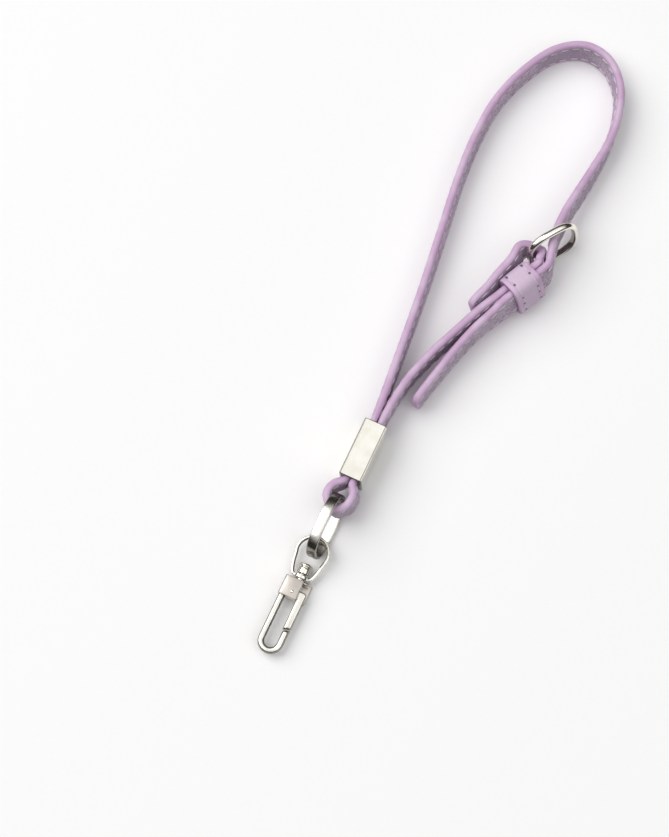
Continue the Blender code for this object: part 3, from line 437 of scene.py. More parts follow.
def strap_route():
    """All route rows, from the tail's tip to the returned end."""
    strand_start = plan_point(SLEEVE_PLACE, (SLEEVE_STRAND + GAP) / 2, SLEEVE_LENGTH / 2)
    tail_start = plan_point(KEEPER_PLACE, (STRAP_THICKNESS + GAP) / 2, -KEEPER_LENGTH / 2)
    strand_end = plan_point(KEEPER_PLACE, -(STRAP_THICKNESS + GAP) / 2, -KEEPER_LENGTH / 2)
    fold_tip = -FRAME_LENGTH / 2 + FRAME_BAR + FRAME_FOLD_SLACK + STRAP_THICKNESS / 2
    rows = between_rows(TAIL_ROWS, tail_start, strand_start, TAIL_LENGTH) + keeper_run(1)
    rows += frame_rows(CROSSING_ROWS, FRAME_LENGTH, 0.0, 0.0) + loop_rows()
    rows += sleeve_run(-1) + ring_fold_rows() + sleeve_run(1)
    rows += between_rows(STRAND_ROWS, strand_start, strand_end, math.dist(strand_start, strand_end))
    rows += keeper_run(-1)
    rows += frame_rows(FRAME_FOLD_ROWS, FRAME_FOLD_WIDTH / 2, FRAME_FOLD_SIDEWAYS, fold_tip)
    return np.array(rows + return_rows())


def smooth_curve(rows, steps):
    """A centripetal Catmull-Rom curve through all rows, with a number of steps in each span."""
    points = np.vstack([2 * rows[0] - rows[1], rows, 2 * rows[-1] - rows[-2]])
    p0, p1, p2, p3 = points[:-3, None], points[1:-2, None], points[2:-1, None], points[3:, None]
    d1, d2, d3 = (np.sqrt(np.linalg.norm(b[..., :3] - a[..., :3], axis=2))[..., None]
                  for a, b in ((p0, p1), (p1, p2), (p2, p3)))
    m1 = d2 * ((p1 - p0) / d1 - (p2 - p0) / (d1 + d2) + (p2 - p1) / d2)
    m2 = d2 * ((p2 - p1) / d2 - (p3 - p1) / (d2 + d3) + (p3 - p2) / d3)
    t = np.linspace(0.0, 1.0, steps, endpoint=False)[None, :, None]
    cubic = 2 * p1 - 2 * p2 + m1 + m2
    square = -3 * p1 + 3 * p2 - 2 * m1 - m2
    spans = p1 + m1 * t + square * t ** 2 + cubic * t ** 3
    return np.vstack([spans.reshape(-1, rows.shape[1]), rows[-1:]])


class Ribbon:
    """The strap's middle line: distance along it, and at each station its place and directions."""

    def __init__(self, curve):
        steps = np.linalg.norm(np.diff(curve[:, :3], axis=0), axis=1)
        self.along = np.concatenate([[0.0], np.cumsum(steps)])
        self.length = self.along[-1]
        self.curve = curve
        self.tangent = np.gradient(curve[:, :3], self.along, axis=0)

    def at(self, along):
        """Place, width and thickness directions, and their two shares, at distances along."""
        place = np.stack([np.interp(along, self.along, column) for column in self.curve.T], axis=-1)
        ahead = np.stack([np.interp(along, self.along, column) for column in self.tangent.T], axis=-1)
        up = np.concatenate([place[..., 3:5], np.ones(place.shape[:-1] + (1,))], axis=-1)
        up /= np.linalg.norm(up, axis=-1, keepdims=True)
        side = np.cross(ahead, up)
        side /= np.linalg.norm(side, axis=-1, keepdims=True)
        return place[..., :3], up * place[..., 6:7], side * place[..., 5:6]


def grid_mesh(name, points, round_first=False, round_second=False, values=None):
    """A mesh over a grid of points (first, second, xyz), closed on itself in either direction.

    Each quad joins a grid point with its next neighbours. values holds named numbers, one for
    each grid point, which become attributes. Open ends of a tube are closed with a fan.
    """
    rows, columns = points.shape[:2]
    i = np.arange(rows if round_first else rows - 1)[:, None]
    j = np.arange(columns if round_second else columns - 1)[None, :]
    a = i * columns + j
    b = i * columns + (j + 1) % columns
    c = (i + 1) % rows * columns + (j + 1) % columns
    d = (i + 1) % rows * columns + j
    quads = np.stack([a, b, c, d], axis=-1).reshape(-1, 4)
    caps = []
    if round_second and not round_first:
        caps = [list(range(columns))[::-1], list(range((rows - 1) * columns, rows * columns))]
    mesh = bpy.data.meshes.new(name)
    mesh.from_pydata(points.reshape(-1, 3).tolist(), [], quads.tolist() + caps)
    mesh.shade_smooth()
    for key, numbers in (values or {}).items():
        spread = np.broadcast_to(numbers, (rows, columns)).astype(np.float32)
        mesh.attributes.new(key, "FLOAT", "POINT").data.foreach_set("value", spread.ravel())
    return mesh


def outward_mesh(mesh):
    """Turns all faces outward, as a closed skin's are."""
    bm = bmesh.new()
    bm.from_mesh(mesh)
    bmesh.ops.recalc_face_normals(bm, faces=bm.faces)
    bm.to_mesh(mesh)
    bm.free()
    return mesh


def show(name, mesh, material, body, slot, *replaced):
    """Puts a finished mesh into the scene, riding on its body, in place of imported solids."""
    outward_mesh(mesh)
    mesh.materials.append(material)
    piece = bpy.data.objects.new(name, mesh)
    bpy.context.scene.collection.objects.link(piece)
    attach(piece, body)
    if replaced:
        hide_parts(*replaced)
    return piece


STITCH_INSET = 1.55 * MM
STITCH_PITCH = 3.3 * MM
STITCH_LENGTH = 2.35 * MM
STITCH_SLANT = 0.09
FIRST_STITCH = 2.2 * MM
THREAD_RADIUS = 0.21 * MM
THREAD_RISE = 0.06 * MM
THREAD_ARCH = 0.75
THREAD_DIP = 0.55
GROOVE_DEPTH = 0.12 * MM
GROOVE_WIDTH = 0.42 * MM
PAINT_REACH = 1.125 * MM
PAINT_FADE = 0.25 * MM
STATION = 0.5 * MM
TIP_RADIUS = 0.42 * STRAP_WIDTH
TIP_ROUNDNESS = 0.55
TIP_CORNER = 0.5 * MM
TIP_EDGE = 0.8 * MM
TIP_PAINT_REACH = 1.1 * MM
TIP_PAINT_FADE = 0.3 * MM

ribbon = Ribbon(smooth_curve(strap_route(), 40))


def within(distance, reach, fade):
    """1 close by, falling straight to 0 at the reach over a stretch as long as fade."""
    return np.clip((reach - distance) / fade, 0.0, 1.0)


def strap_section():
    """The closed outline of the strap as (width, thickness) offsets, and its paint mask.

    Both edges are half ellipses, STRAP_EDGE of the half thickness deep. The faces between them
    are straight but for a shallow Gaussian groove under each row of stitches.
    """
    half_width, half_thickness = STRAP_WIDTH / 2, STRAP_THICKNESS / 2
    depth = STRAP_EDGE * half_thickness
    angles = np.linspace(0.0, math.pi, 15)
    edge = np.stack([half_width - depth + depth * np.sin(angles),
                     half_thickness * np.cos(angles)], axis=1)
    width = np.linspace(half_width - depth, depth - half_width, 33)[1:-1]
    groove = np.exp(-((np.abs(width) - half_width + STITCH_INSET) / GROOVE_WIDTH) ** 2)
    face = np.stack([width, -half_thickness + GROOVE_DEPTH * groove], axis=1)
    outline = np.vstack([edge, face, -edge, -face])
    return outline, within(half_width - np.abs(outline[:, 0]), PAINT_REACH, PAINT_FADE)


def rounded_end(distance, radius):
    """Share of a size at a distance from a rounded end: a quarter circle."""
    inside = np.clip((radius - distance) / radius, 0.0, 1.0)
    return np.sqrt(1.0 - 0.98 * inside ** 2)


def strap_mesh():
    """The section carried along the ribbon, narrower and thinner towards both rounded tips."""
    count = int(ribbon.length / STATION)
    along = np.linspace(0.0, ribbon.length, count)
    tips = TIP_RADIUS * (1 - np.cos(np.linspace(0.0, math.pi / 2, 14)))
    along = np.unique(np.concatenate([along, tips, ribbon.length - tips]))
    from_end = np.minimum(along, ribbon.length - along)
    outline, paint = strap_section()
    place, up, side = ribbon.at(along)
    wide = (TIP_ROUNDNESS * rounded_end(from_end, TIP_RADIUS)
            + (1.0 - TIP_ROUNDNESS) * rounded_end(from_end, TIP_CORNER))
    thick = rounded_end(from_end, TIP_EDGE)
    points = (place[:, None] + up[:, None] * outline[None, :, :1] * wide[:, None, None]
              + side[:, None] * outline[None, :, 1:] * thick[:, None, None])
    tip_paint = within(from_end, TIP_PAINT_REACH, TIP_PAINT_FADE)
    values = {
        "along": along[:, None],
        "across": outline[None, :, 0] * wide[:, None],
        "paint": np.maximum(paint[None, :], tip_paint[:, None]),
    }
    return grid_mesh("strap_leather", points, round_second=True, values=values)


def stitch_rows_mesh(name, centre, lengthwise, crosswise, outward, length, radius):
    """Many stitches as one mesh: each is a short thread that dips into the leather at both ends.

    centre and the three directions hold one row for each stitch. A thread's line is an arch,
    THREAD_ARCH (1 - t^4) - THREAD_DIP radii high, and its section a circle of the radius times
    the root of 1 - t^8, which closes at both ends.
    """
    t = np.linspace(-1.0, 1.0, 9)
    turn = np.arange(7) * 2 * math.pi / 7
    arch = radius * (THREAD_ARCH * (1 - t ** 4) - THREAD_DIP)
    girth = radius * np.sqrt(np.clip(1.02 - t ** 8, 0.0, 1.0))
    lift = arch[:, None] + girth[:, None] * np.sin(turn)[None, :]
    spread = girth[:, None] * np.cos(turn)[None, :]
    forward = np.broadcast_to((t * length / 2)[:, None], lift.shape)
    points = (centre[:, None, None] + lengthwise[:, None, None] * forward[None, ..., None]
              + crosswise[:, None, None] * spread[None, ..., None]
              + outward[:, None, None] * lift[None, ..., None])
    count, rows, columns = points.shape[:3]
    i = np.arange(rows - 1)[:, None] * columns
    j = np.arange(columns)[None, :]
    after = (j + 1) % columns
    quad = np.stack([i + j, i + after, i + columns + after, i + columns + j], axis=-1)
    starts = np.arange(count)[:, None, None] * rows * columns
    quads = (quad.reshape(1, -1, 4) + starts).reshape(-1, 4)
    rings = np.arange(columns)[None, :] + np.arange(count)[:, None] * rows * columns
    mesh = bpy.data.meshes.new(name)
    ends = rings[:, ::-1].tolist() + (rings + (rows - 1) * columns).tolist()
    mesh.from_pydata(points.reshape(-1, 3).tolist(), [], quads.tolist() + ends)
    mesh.shade_smooth()
    return mesh


def strap_stitches_mesh():
    """Stitches at an even pitch along both faces, a row near each edge, slightly slanted."""
    along = np.arange(FIRST_STITCH, ribbon.length - FIRST_STITCH, STITCH_PITCH)
    place, up, side = ribbon.at(along)
    ahead = np.cross(up, side)
    parts = []
    for row in (-1, 1):
        for face in (-1, 1):
            width = row * (STRAP_WIDTH / 2 - STITCH_INSET)
            depth = face * (STRAP_THICKNESS / 2 - GROOVE_DEPTH + THREAD_RISE)
            slant = ahead + STITCH_SLANT * face * up
            slant /= np.linalg.norm(slant, axis=1)[:, None]
            centre = place + up * width + side * depth
            parts.append((centre, slant, np.cross(slant, side), side * face))
    columns = [np.concatenate(column) for column in zip(*parts)]
    return stitch_rows_mesh("strap_stitches", *columns, STITCH_LENGTH, THREAD_RADIUS)


GRAIN_WARP = 0.6 * MM


def grain_group():
    """Leather grain: pebbles of two sizes with fine creases between them, and a slow tone."""
    group = bpy.data.node_groups.new("leather_grain", "ShaderNodeTree")
    group.interface.new_socket("Place", in_out="INPUT", socket_type="NodeSocketVector")
    group.interface.new_socket("Pebbles", in_out="INPUT", socket_type="NodeSocketFloat")
    group.interface.new_socket("Height", in_out="OUTPUT", socket_type="NodeSocketFloat")
    group.interface.new_socket("Tone", in_out="OUTPUT", socket_type="NodeSocketFloat")
    given = group.nodes.new("NodeGroupInput").outputs
    warp = node(group, "ShaderNodeTexNoise", None,
                {"Vector": given["Place"], "Scale": 700.0, "Detail": 2.0})
    shifted = node(group, "ShaderNodeVectorMath", {"operation": "MULTIPLY_ADD"},
                   {0: warp.outputs["Color"], 1: (GRAIN_WARP,) * 3, 2: given["Place"]}).outputs[0]
    pebbles = node(group, "ShaderNodeTexVoronoi", {"feature": "DISTANCE_TO_EDGE"},
                   {"Vector": shifted, "Scale": given["Pebbles"]}).outputs["Distance"]
    finer = maths(group, "MULTIPLY", given["Pebbles"], 2.3)
    small = node(group, "ShaderNodeTexVoronoi", {"feature": "F1"},
                 {"Vector": shifted, "Scale": finer}).outputs["Distance"]
    crease = between(group, pebbles, 0.0, 0.16)
    height = maths(group, "MULTIPLY_ADD", maths(group, "SUBTRACT", 1.0, small), 0.35, crease)
    slow = node(group, "ShaderNodeTexNoise", None,
                {"Vector": given["Place"], "Scale": 90.0, "Detail": 4.0})
    raised = maths(group, "SUBTRACT", height, 0.9)
    tone = maths(group, "MULTIPLY_ADD", raised, 0.45, slow.outputs["Fac"])
    result = group.nodes.new("NodeGroupOutput")
    group.links.new(height, result.inputs["Height"])
    group.links.new(tone, result.inputs["Tone"])
    return group


LEATHER_GRAIN = grain_group()
LILAC_DARK = (0.385, 0.295, 0.400, 1.0)
LILAC_FACE = (0.610, 0.505, 0.620, 1.0)
LILAC_PAINT = (0.630, 0.465, 0.640, 1.0)
LILAC_PAINT_DEEP = (0.545, 0.360, 0.550, 1.0)
PAINTED_HOLE_SHADE = (0.095, 0.055, 0.100, 1.0)
HOLE_RADIUS = 0.32 * MM
THREAD_SHADE = (0.52, 0.42, 0.54, 1.0)
THREAD_LIGHT = (0.88, 0.82, 0.89, 1.0)


def grain_at(tree, pebbles):
    """The grain's node at the piece's own coordinates."""
    place = node(tree, "ShaderNodeTexCoord").outputs["Object"]
    made = node(tree, "ShaderNodeGroup", {"node_tree": LEATHER_GRAIN},
                {"Place": place, "Pebbles": pebbles})
    return place, made.outputs


def attribute(tree, name):
    """The value of one of the mesh's own attributes."""
    return node(tree, "ShaderNodeAttribute", {"attribute_name": name}).outputs["Fac"]


def leather_material(name, pebbles, grain_depth, row_middle, pitch, face_colours, roughness):
    """Pebbled leather with smooth painted edges and needle holes at the stitches' ends.

    The paint mask hides the grain, and a darker line follows its rim. Needle holes are dark spots of
    painted shade with a shallow dip in the bump; they lie where the distance along is half a pitch past
    a whole number of pitches, on the stitched row.
    """
    material, tree, shader = new_material(name)
    place, grain = grain_at(tree, pebbles)
    paint = attribute(tree, "paint")
    cloud = node(tree, "ShaderNodeTexNoise", None, {"Vector": place, "Scale": 160.0, "Detail": 5.0})
    face = mixed(tree, between(tree, grain["Tone"], 0.30, 0.85), face_colours[0], face_colours[1])
    cloudy = between(tree, cloud.outputs["Fac"], 0.36, 0.64)
    painted = mixed(tree, cloudy, LILAC_PAINT_DEEP, LILAC_PAINT)
    colour = mixed(tree, paint, face, painted)
    rim = maths(tree, "MULTIPLY", maths(tree, "SUBTRACT", 1.0, paint), paint)
    colour = mixed(tree, maths(tree, "MULTIPLY", rim, 1.3), colour, LILAC_DARK)
    turns = maths(tree, "DIVIDE", attribute(tree, "along"), pitch)
    past_pitch = maths(tree, "SUBTRACT", maths(tree, "FRACT", turns), 0.5)
    off_pitch = maths(tree, "MULTIPLY", past_pitch, pitch)
    off_middle = maths(tree, "ABSOLUTE", attribute(tree, "across"))
    off_row = maths(tree, "SUBTRACT", off_middle, row_middle)
    reach = maths(tree, "SQRT", maths(tree, "ADD", maths(tree, "POWER", off_pitch, 2.0),
                                      maths(tree, "POWER", off_row, 2.0)))
    # Painted shade: each needle hole is a near-black spot in place of the shade inside it.
    hole = between(tree, reach, 0.6 * HOLE_RADIUS, 1.4 * HOLE_RADIUS, 1.0, 0.0)
    colour = mixed(tree, hole, colour, PAINTED_HOLE_SHADE)
    tree.links.new(colour, shader.inputs["Base Color"])
    rough = maths(tree, "MULTIPLY_ADD", paint, -0.16, roughness)
    rough = maths(tree, "MULTIPLY_ADD", cloud.outputs["Fac"], 0.12, rough)
    tree.links.new(rough, shader.inputs["Roughness"])
    skin = maths(tree, "MULTIPLY", grain["Height"], maths(tree, "MULTIPLY_ADD", paint, -0.93, 1.0))
    skin = maths(tree, "SUBTRACT", skin, maths(tree, "MULTIPLY", hole, 1.5))
    bump = node(tree, "ShaderNodeBump", None,
                {"Height": skin, "Strength": 0.75, "Distance": grain_depth})
    tree.links.new(bump.outputs["Normal"], shader.inputs["Normal"])
    shader.inputs["Specular IOR Level"].default_value = 0.42
    return material


def thread_material():
    """Waxed lilac thread with a twist along it."""
    material, tree, shader = new_material("lilac_thread")
    place = node(tree, "ShaderNodeTexCoord").outputs["Object"]
    twist = node(tree, "ShaderNodeTexNoise", None,
                 {"Vector": place, "Scale": 2600.0, "Detail": 2.0}).outputs["Fac"]
    tree.links.new(mixed(tree, twist, THREAD_SHADE, THREAD_LIGHT), shader.inputs["Base Color"])
    shader.inputs["Roughness"].default_value = 0.55
    bump = node(tree, "ShaderNodeBump", None, {"Height": twist, "Strength": 0.5, "Distance": 0.05 * MM})
    tree.links.new(bump.outputs["Normal"], shader.inputs["Normal"])
    return material


strap_material = leather_material(
    "lilac_leather", pebbles=950.0, grain_depth=0.10 * MM,
    row_middle=STRAP_WIDTH / 2 - STITCH_INSET, pitch=STITCH_PITCH,
    face_colours=(LILAC_DARK, LILAC_FACE), roughness=0.56)
thread = thread_material()
show("strap_leather", strap_mesh(), strap_material, "strap_body", "strap_leather", "strap")
show("strap_stitches", strap_stitches_mesh(), thread, "strap_body", "strap_leather")


# The keeper.
# A short band of the same leather, smoother and bent round the strand and the tail, with a
# painted border and a row of stitches along each of its two borders.

KEEPER_CORNER = 1.3 * MM
KEEPER_BORDER = 0.34 * MM
KEEPER_SWELL = 0.10 * MM
KEEPER_STITCH_INSET = 1.7 * MM
KEEPER_STITCH_LENGTH = 2.0 * MM
KEEPER_STITCH_SLANT = 0.1
KEEPER_THREAD_RADIUS = 0.19 * MM
KEEPER_THREAD_DEPTH = 0.06 * MM
KEEPER_GROOVE_WIDTH = 0.4 * MM
KEEPER_PAINT_REACH = 1.45 * MM
KEEPER_PAINT_FADE = 0.35 * MM
KEEPER_PITCH = 2.9 * MM
KEEPER_INNER_HEIGHT = STRAP_WIDTH + 2.0 * GAP
KEEPER_SHADE = (0.600, 0.465, 0.615, 1.0)
KEEPER_FACE = (0.670, 0.530, 0.685, 1.0)


def rounded_rectangle(half_length, half_height, corner, steps, straight):
    """Outline, outward directions and distance along a rounded rectangle, anticlockwise.

    Each corner is a quarter circle of the given steps, and each side has straight points.
    """
    points, outward = [], []
    signs = [(1, 1), (-1, 1), (-1, -1), (1, -1)]
    for quarter in range(4):
        angles = np.linspace(0.0, math.pi / 2, steps) + quarter * math.pi / 2
        directions = np.stack([np.cos(angles), np.sin(angles)], axis=1)
        centre = np.array(signs[quarter]) * (half_length - corner, half_height - corner)
        arc = centre + corner * directions
        last = directions[-1]
        turned = np.array([-last[1], last[0]])
        following = np.array(signs[(quarter + 1) % 4]) * (half_length - corner,
                                                          half_height - corner)
        run = abs((following - centre) @ turned)
        share = np.linspace(0.0, 1.0, straight + 2)[1:-1, None]
        points.append(np.vstack([arc, arc[-1] + turned * run * share]))
        outward.append(np.vstack([directions, np.repeat(last[None], straight, axis=0)]))
    points, outward = np.vstack(points), np.vstack(outward)
    steps_along = np.linalg.norm(np.roll(points, -1, axis=0) - points, axis=1)
    return points, outward, np.concatenate([[0.0], np.cumsum(steps_along)[:-1]]), steps_along.sum()


def hoop_points(outline, outward, profile):
    """A hoop's grid: at each outline point the profile's (outward, along axis) offsets."""
    flat = outline[:, None] + profile[None, :, :1] * outward[:, None]
    depth = np.broadcast_to(profile[None, :, 1:], flat.shape[:2] + (1,))
    return np.concatenate([flat, depth], axis=2)


def placed(points, matrix):
    """Points taken by a matrix to their place."""
    matrix = np.array(matrix)
    return points @ matrix[:3, :3].T + matrix[:3, 3]


def keeper_matrix():
    """The keeper's section lies in local X and Y, its length along local Z."""
    upright = Matrix.Rotation(math.radians(-90), 4, "X")
    lean = Matrix.Rotation(-KEEPER_LEAN, 4, "Y")
    turn = Matrix.Rotation(-KEEPER_TURN, 4, "Z")
    return Matrix.Translation(KEEPER_MIDDLE) @ turn @ lean @ upright


def keeper_profile():
    """The wall's closed section: flat inside, round borders, stitched grooves outside.

    The outside swells by KEEPER_SWELL times 1 - t^4, with t the share of the half length.
    """
    half = KEEPER_LENGTH / 2
    border = KEEPER_BORDER
    angles = np.linspace(-math.pi / 2, 0.0, 7)
    along = np.linspace(-half + border, half - border, 47)
    groove = np.exp(-((np.abs(along) - half + KEEPER_STITCH_INSET) / KEEPER_GROOVE_WIDTH) ** 2)
    swell = KEEPER_SWELL * (1 - (along / half) ** 4)
    outer = np.stack([KEEPER_WALL - KEEPER_SWELL + swell - GROOVE_DEPTH * groove, along], axis=1)
    start = np.stack([outer[0, 0] - border + border * np.cos(angles),
                      -half + border + border * np.sin(angles)], axis=1)
    end = start[::-1] * (1, -1)
    inner = np.stack([np.zeros(9), np.linspace(half, -half, 9)], axis=1)
    return np.vstack([start, outer[1:-1], end, inner[1:]])


def keeper_mesh():
    """The wall's section carried round the rounded rectangle that the two strands fill."""
    outline, outward, around, length = rounded_rectangle(
        KEEPER_INNER_WIDTH / 2, KEEPER_INNER_HEIGHT / 2, KEEPER_CORNER, 14, 30)
    profile = keeper_profile()
    points = placed(hoop_points(outline, outward, profile), keeper_matrix())
    from_border = KEEPER_LENGTH / 2 - np.abs(profile[:, 1])
    painted = within(from_border, KEEPER_PAINT_REACH, KEEPER_PAINT_FADE)
    whole_pitch = length / round(length / KEEPER_PITCH)
    values = {
        "along": around[:, None] + whole_pitch / 2,
        "across": profile[None, :, 1],
        "paint": np.maximum(painted, profile[:, 0] < 0.4 * KEEPER_WALL)[None, :],
    }
    return grid_mesh("keeper_leather", points, True, True, values), whole_pitch


def keeper_stitches_mesh(pitch):
    """Stitches round the keeper, one row near each border."""
    outline, outward, around, length = rounded_rectangle(
        KEEPER_INNER_WIDTH / 2, KEEPER_INNER_HEIGHT / 2, KEEPER_CORNER, 14, 60)
    outer = outline + outward * (KEEPER_WALL - KEEPER_THREAD_DEPTH)
    centres = np.arange(round(length / pitch)) * pitch + pitch / 2
    spot = np.stack([np.interp(centres, around, column) for column in outer.T], axis=1)
    out = np.stack([np.interp(centres, around, column) for column in outward.T], axis=1)
    out /= np.linalg.norm(out, axis=1)[:, None]
    direction = np.column_stack([out, np.zeros(len(out))])
    lengthwise = np.cross([0.0, 0.0, 1.0], direction) + np.array([0.0, 0.0, KEEPER_STITCH_SLANT])
    lengthwise /= np.linalg.norm(lengthwise, axis=1)[:, None]
    directions = (lengthwise, np.cross(direction, lengthwise), direction)
    turned = [way @ np.array(keeper_matrix())[:3, :3].T for way in directions]
    parts = []
    for border in (-1, 1):
        depth = border * (KEEPER_LENGTH / 2 - KEEPER_STITCH_INSET)
        centre = np.column_stack([spot, np.full(len(spot), depth)])
        parts.append((placed(centre, keeper_matrix()), *turned))
    columns = [np.concatenate(column) for column in zip(*parts)]
    return stitch_rows_mesh("keeper_stitches", *columns, KEEPER_STITCH_LENGTH, KEEPER_THREAD_RADIUS)


keeper, pitch = keeper_mesh()
keeper_material = leather_material(
    "keeper_leather", pebbles=1900.0, grain_depth=0.022 * MM,
    row_middle=KEEPER_LENGTH / 2 - KEEPER_STITCH_INSET, pitch=pitch,
    face_colours=(KEEPER_SHADE, KEEPER_FACE), roughness=0.50)
show("keeper_leather", keeper, keeper_material, "strap_body", "keeper_leather", "keeper")
show("keeper_stitches", keeper_stitches_mesh(pitch), thread, "strap_body", "keeper_leather")


# The buckle frame.
# An oval hoop cast in zinc, domed outside and flat inside, polished and plated in warm nickel.
# The strap's folded end holds it, and the loop's strand slides through it.

def superellipse(half_length, half_height, power, count):
    """A rounded oval |x/a|^n + |y/b|^n = 1 and its outward directions, anticlockwise."""
    angles = (np.arange(count) + 0.5) * 2 * math.pi / count
    cosine, sine = np.cos(angles), np.sin(angles)
    size = np.abs(cosine / half_length) ** power + np.abs(sine / half_height) ** power
    points = size[:, None] ** (-1.0 / power) * np.stack([cosine, sine], axis=1)
    halves = np.array([half_length, half_height])
    slope = np.sign(points) * np.abs(points / halves) ** (power - 1) / halves
    return points, slope / np.linalg.norm(slope, axis=1)[:, None]


def wear_group():
    """Small marks on plated metal: fine scratches and a cloudy film."""
    group = bpy.data.node_groups.new("plating_wear", "ShaderNodeTree")
    group.interface.new_socket("Place", in_out="INPUT", socket_type="NodeSocketVector")
    group.interface.new_socket("Scratches", in_out="OUTPUT", socket_type="NodeSocketFloat")
    group.interface.new_socket("Film", in_out="OUTPUT", socket_type="NodeSocketFloat")
    given = group.nodes.new("NodeGroupInput").outputs
    drawn_out = {"Vector": given["Place"], "Rotation": (0.3, 0.2, 0.6), "Scale": (1.0, 0.06, 1.0)}
    streaks = node(group, "ShaderNodeMapping", None, drawn_out).outputs[0]
    lines = node(group, "ShaderNodeTexNoise", None,
                 {"Vector": streaks, "Scale": 5200.0, "Detail": 3.0})
    cloud = node(group, "ShaderNodeTexNoise", None,
                 {"Vector": given["Place"], "Scale": 240.0, "Detail": 5.0})
    result = group.nodes.new("NodeGroupOutput")
    group.links.new(between(group, lines.outputs["Fac"], 0.52, 0.70), result.inputs["Scratches"])
    group.links.new(between(group, cloud.outputs["Fac"], 0.35, 0.70), result.inputs["Film"])
    return group


PLATING_WEAR = wear_group()
# Painted shade: a near-black colour and its usual share, laid on the metal in place of shade and dark
# reflections. On the sleeve's top the same colour also draws a real dark seam.
SEAM_AND_PAINTED_SHADE_COLOUR = (0.035, 0.030, 0.024, 1.0)
PAINTED_SHADE_SHARE = 0.75


def metal_material(name, bright, dull, roughness, scratch_depth):
    """Warm nickel plating with a cloudy film, and fine scratches in its gloss.

    The mesh's own attribute read below is the share of a near-black colour laid over it: painted
    shade and painted dark reflection on inner sides, bends and wire sides, and on the sleeve's top also
    a real dark seam.
    """
    material, tree, shader = new_material(name)
    place = node(tree, "ShaderNodeTexCoord").outputs["Object"]
    wear = node(tree, "ShaderNodeGroup", {"node_tree": PLATING_WEAR}, {"Place": place}).outputs
    colour = mixed(tree, wear["Film"], bright, dull)
    # Painted shade: the attribute mixes the near-black colour over the plating in place of shade and
    # dark reflections, and on the sleeve also draws its real seam.
    colour = mixed(tree, attribute(tree, "seam_and_painted_shade"), colour, SEAM_AND_PAINTED_SHADE_COLOUR)
    tree.links.new(colour, shader.inputs["Base Color"])
    rough = maths(tree, "MULTIPLY_ADD", wear["Film"], 0.06, roughness)
    rough = maths(tree, "MULTIPLY_ADD", wear["Scratches"], 0.07, rough)
    tree.links.new(rough, shader.inputs["Roughness"])
    bump = node(tree, "ShaderNodeBump", None,
                {"Height": wear["Scratches"], "Strength": 0.25, "Distance": scratch_depth})
    tree.links.new(bump.outputs["Normal"], shader.inputs["Normal"])
    shader.inputs["Metallic"].default_value = 1.0
    return material


polished_nickel = metal_material(
    "polished_nickel", bright=(0.90, 0.88, 0.81, 1.0), dull=(0.80, 0.77, 0.69, 1.0),
    roughness=0.10, scratch_depth=0.01 * MM)
satin_nickel = metal_material(
    "satin_nickel", bright=(0.80, 0.78, 0.72, 1.0), dull=(0.68, 0.66, 0.60, 1.0),
    roughness=0.20, scratch_depth=0.015 * MM)


def leaning_matrix(turn, lean, spot):
    """Local X runs along a heading in plan and local Y up, leaning to the left."""
    heading = Vector((math.sin(turn), math.cos(turn), 0.0))
    right = Vector((math.cos(turn), -math.sin(turn), 0.0))
    up = Vector((0.0, 0.0, math.cos(lean))) - right * math.sin(lean)
    return facing(spot, heading, up)


FRAME_DOME = 0.75 * FRAME_BAR
# depth: share of FRAME_BAR inwards; width: share of half FRAME_BAR_WIDTH
FRAME_INSIDE = [(-0.92, 0.90), (-1.0, 0.70), (-1.0, 0.0), (-1.0, -0.70), (-0.92, -0.90)]


def frame_mesh():
    """A section with a half ellipse outside and a flat inside, carried round the oval."""
    half = FRAME_BAR_WIDTH / 2
    outline, outward = superellipse(FRAME_LENGTH / 2, FRAME_HEIGHT / 2, FRAME_ROUNDNESS, 160)
    angles = np.linspace(-math.pi / 2, math.pi / 2, 19)
    dome = np.stack([FRAME_DOME * (np.cos(angles) - 1), half * np.sin(angles)], axis=1)
    profile = np.vstack([dome, np.array(FRAME_INSIDE) * (FRAME_BAR, half)])
    points = hoop_points(outline, outward, profile)
    # Painted shade on the hoop's flat inside, darkest at the inner face.
    from_inside = 1.0 + profile[:, 0] / FRAME_BAR
    seam_and_painted_shade = PAINTED_SHADE_SHARE * within(from_inside, 0.20, 0.15)[None, :]
    placing = leaning_matrix(FRAME_TURN, FRAME_LEAN, FRAME_MIDDLE)
    return grid_mesh("frame_metal", placed(points, placing), True, True, {"seam_and_painted_shade": seam_and_painted_shade})


show("frame_metal", frame_mesh(), polished_nickel, "strap_body", "polished_metal", "buckle_frame")


# The rivet.
# A small domed stud of plated brass that holds the returned end to the strand.

def turned_points(profile, sides):
    """A profile of (distance along, radius) rows turned round the local Y axis."""
    profile = np.array(profile)
    angles = np.arange(sides) * 2 * math.pi / sides
    ring = np.stack([np.sin(angles), np.zeros(sides), np.cos(angles)], axis=1)
    along = np.array([0.0, 1.0, 0.0])
    return profile[:, 1][:, None, None] * ring[None] + profile[:, 0][:, None, None] * along


def softened(profile, radius, steps=4):
    """The profile with each corner rounded by a short quadratic curve."""
    profile = np.array(profile, float)
    rows = [profile[:1]]
    for before, corner, after in zip(profile[:-2], profile[1:-1], profile[2:]):
        into, out = before - corner, after - corner
        reach_in, reach_out = (min(radius, 0.45 * np.linalg.norm(leg)) for leg in (into, out))
        start = corner + into / np.linalg.norm(into) * reach_in
        end = corner + out / np.linalg.norm(out) * reach_out
        t = np.linspace(0.0, 1.0, steps)[:, None]
        rows.append((1 - t) ** 2 * start + 2 * t * (1 - t) * corner + t ** 2 * end)
    return np.vstack(rows + [profile[-1:]])


RIVET_HEAD_RADIUS = 1.7 * MM
RIVET_HEAD_HEIGHT = 0.45 * MM
RIVET_RADIUS = 0.8 * MM
RIVET_FROM_KEEPER = 1.5 * MM
RIVET_LIP = 0.02 * MM


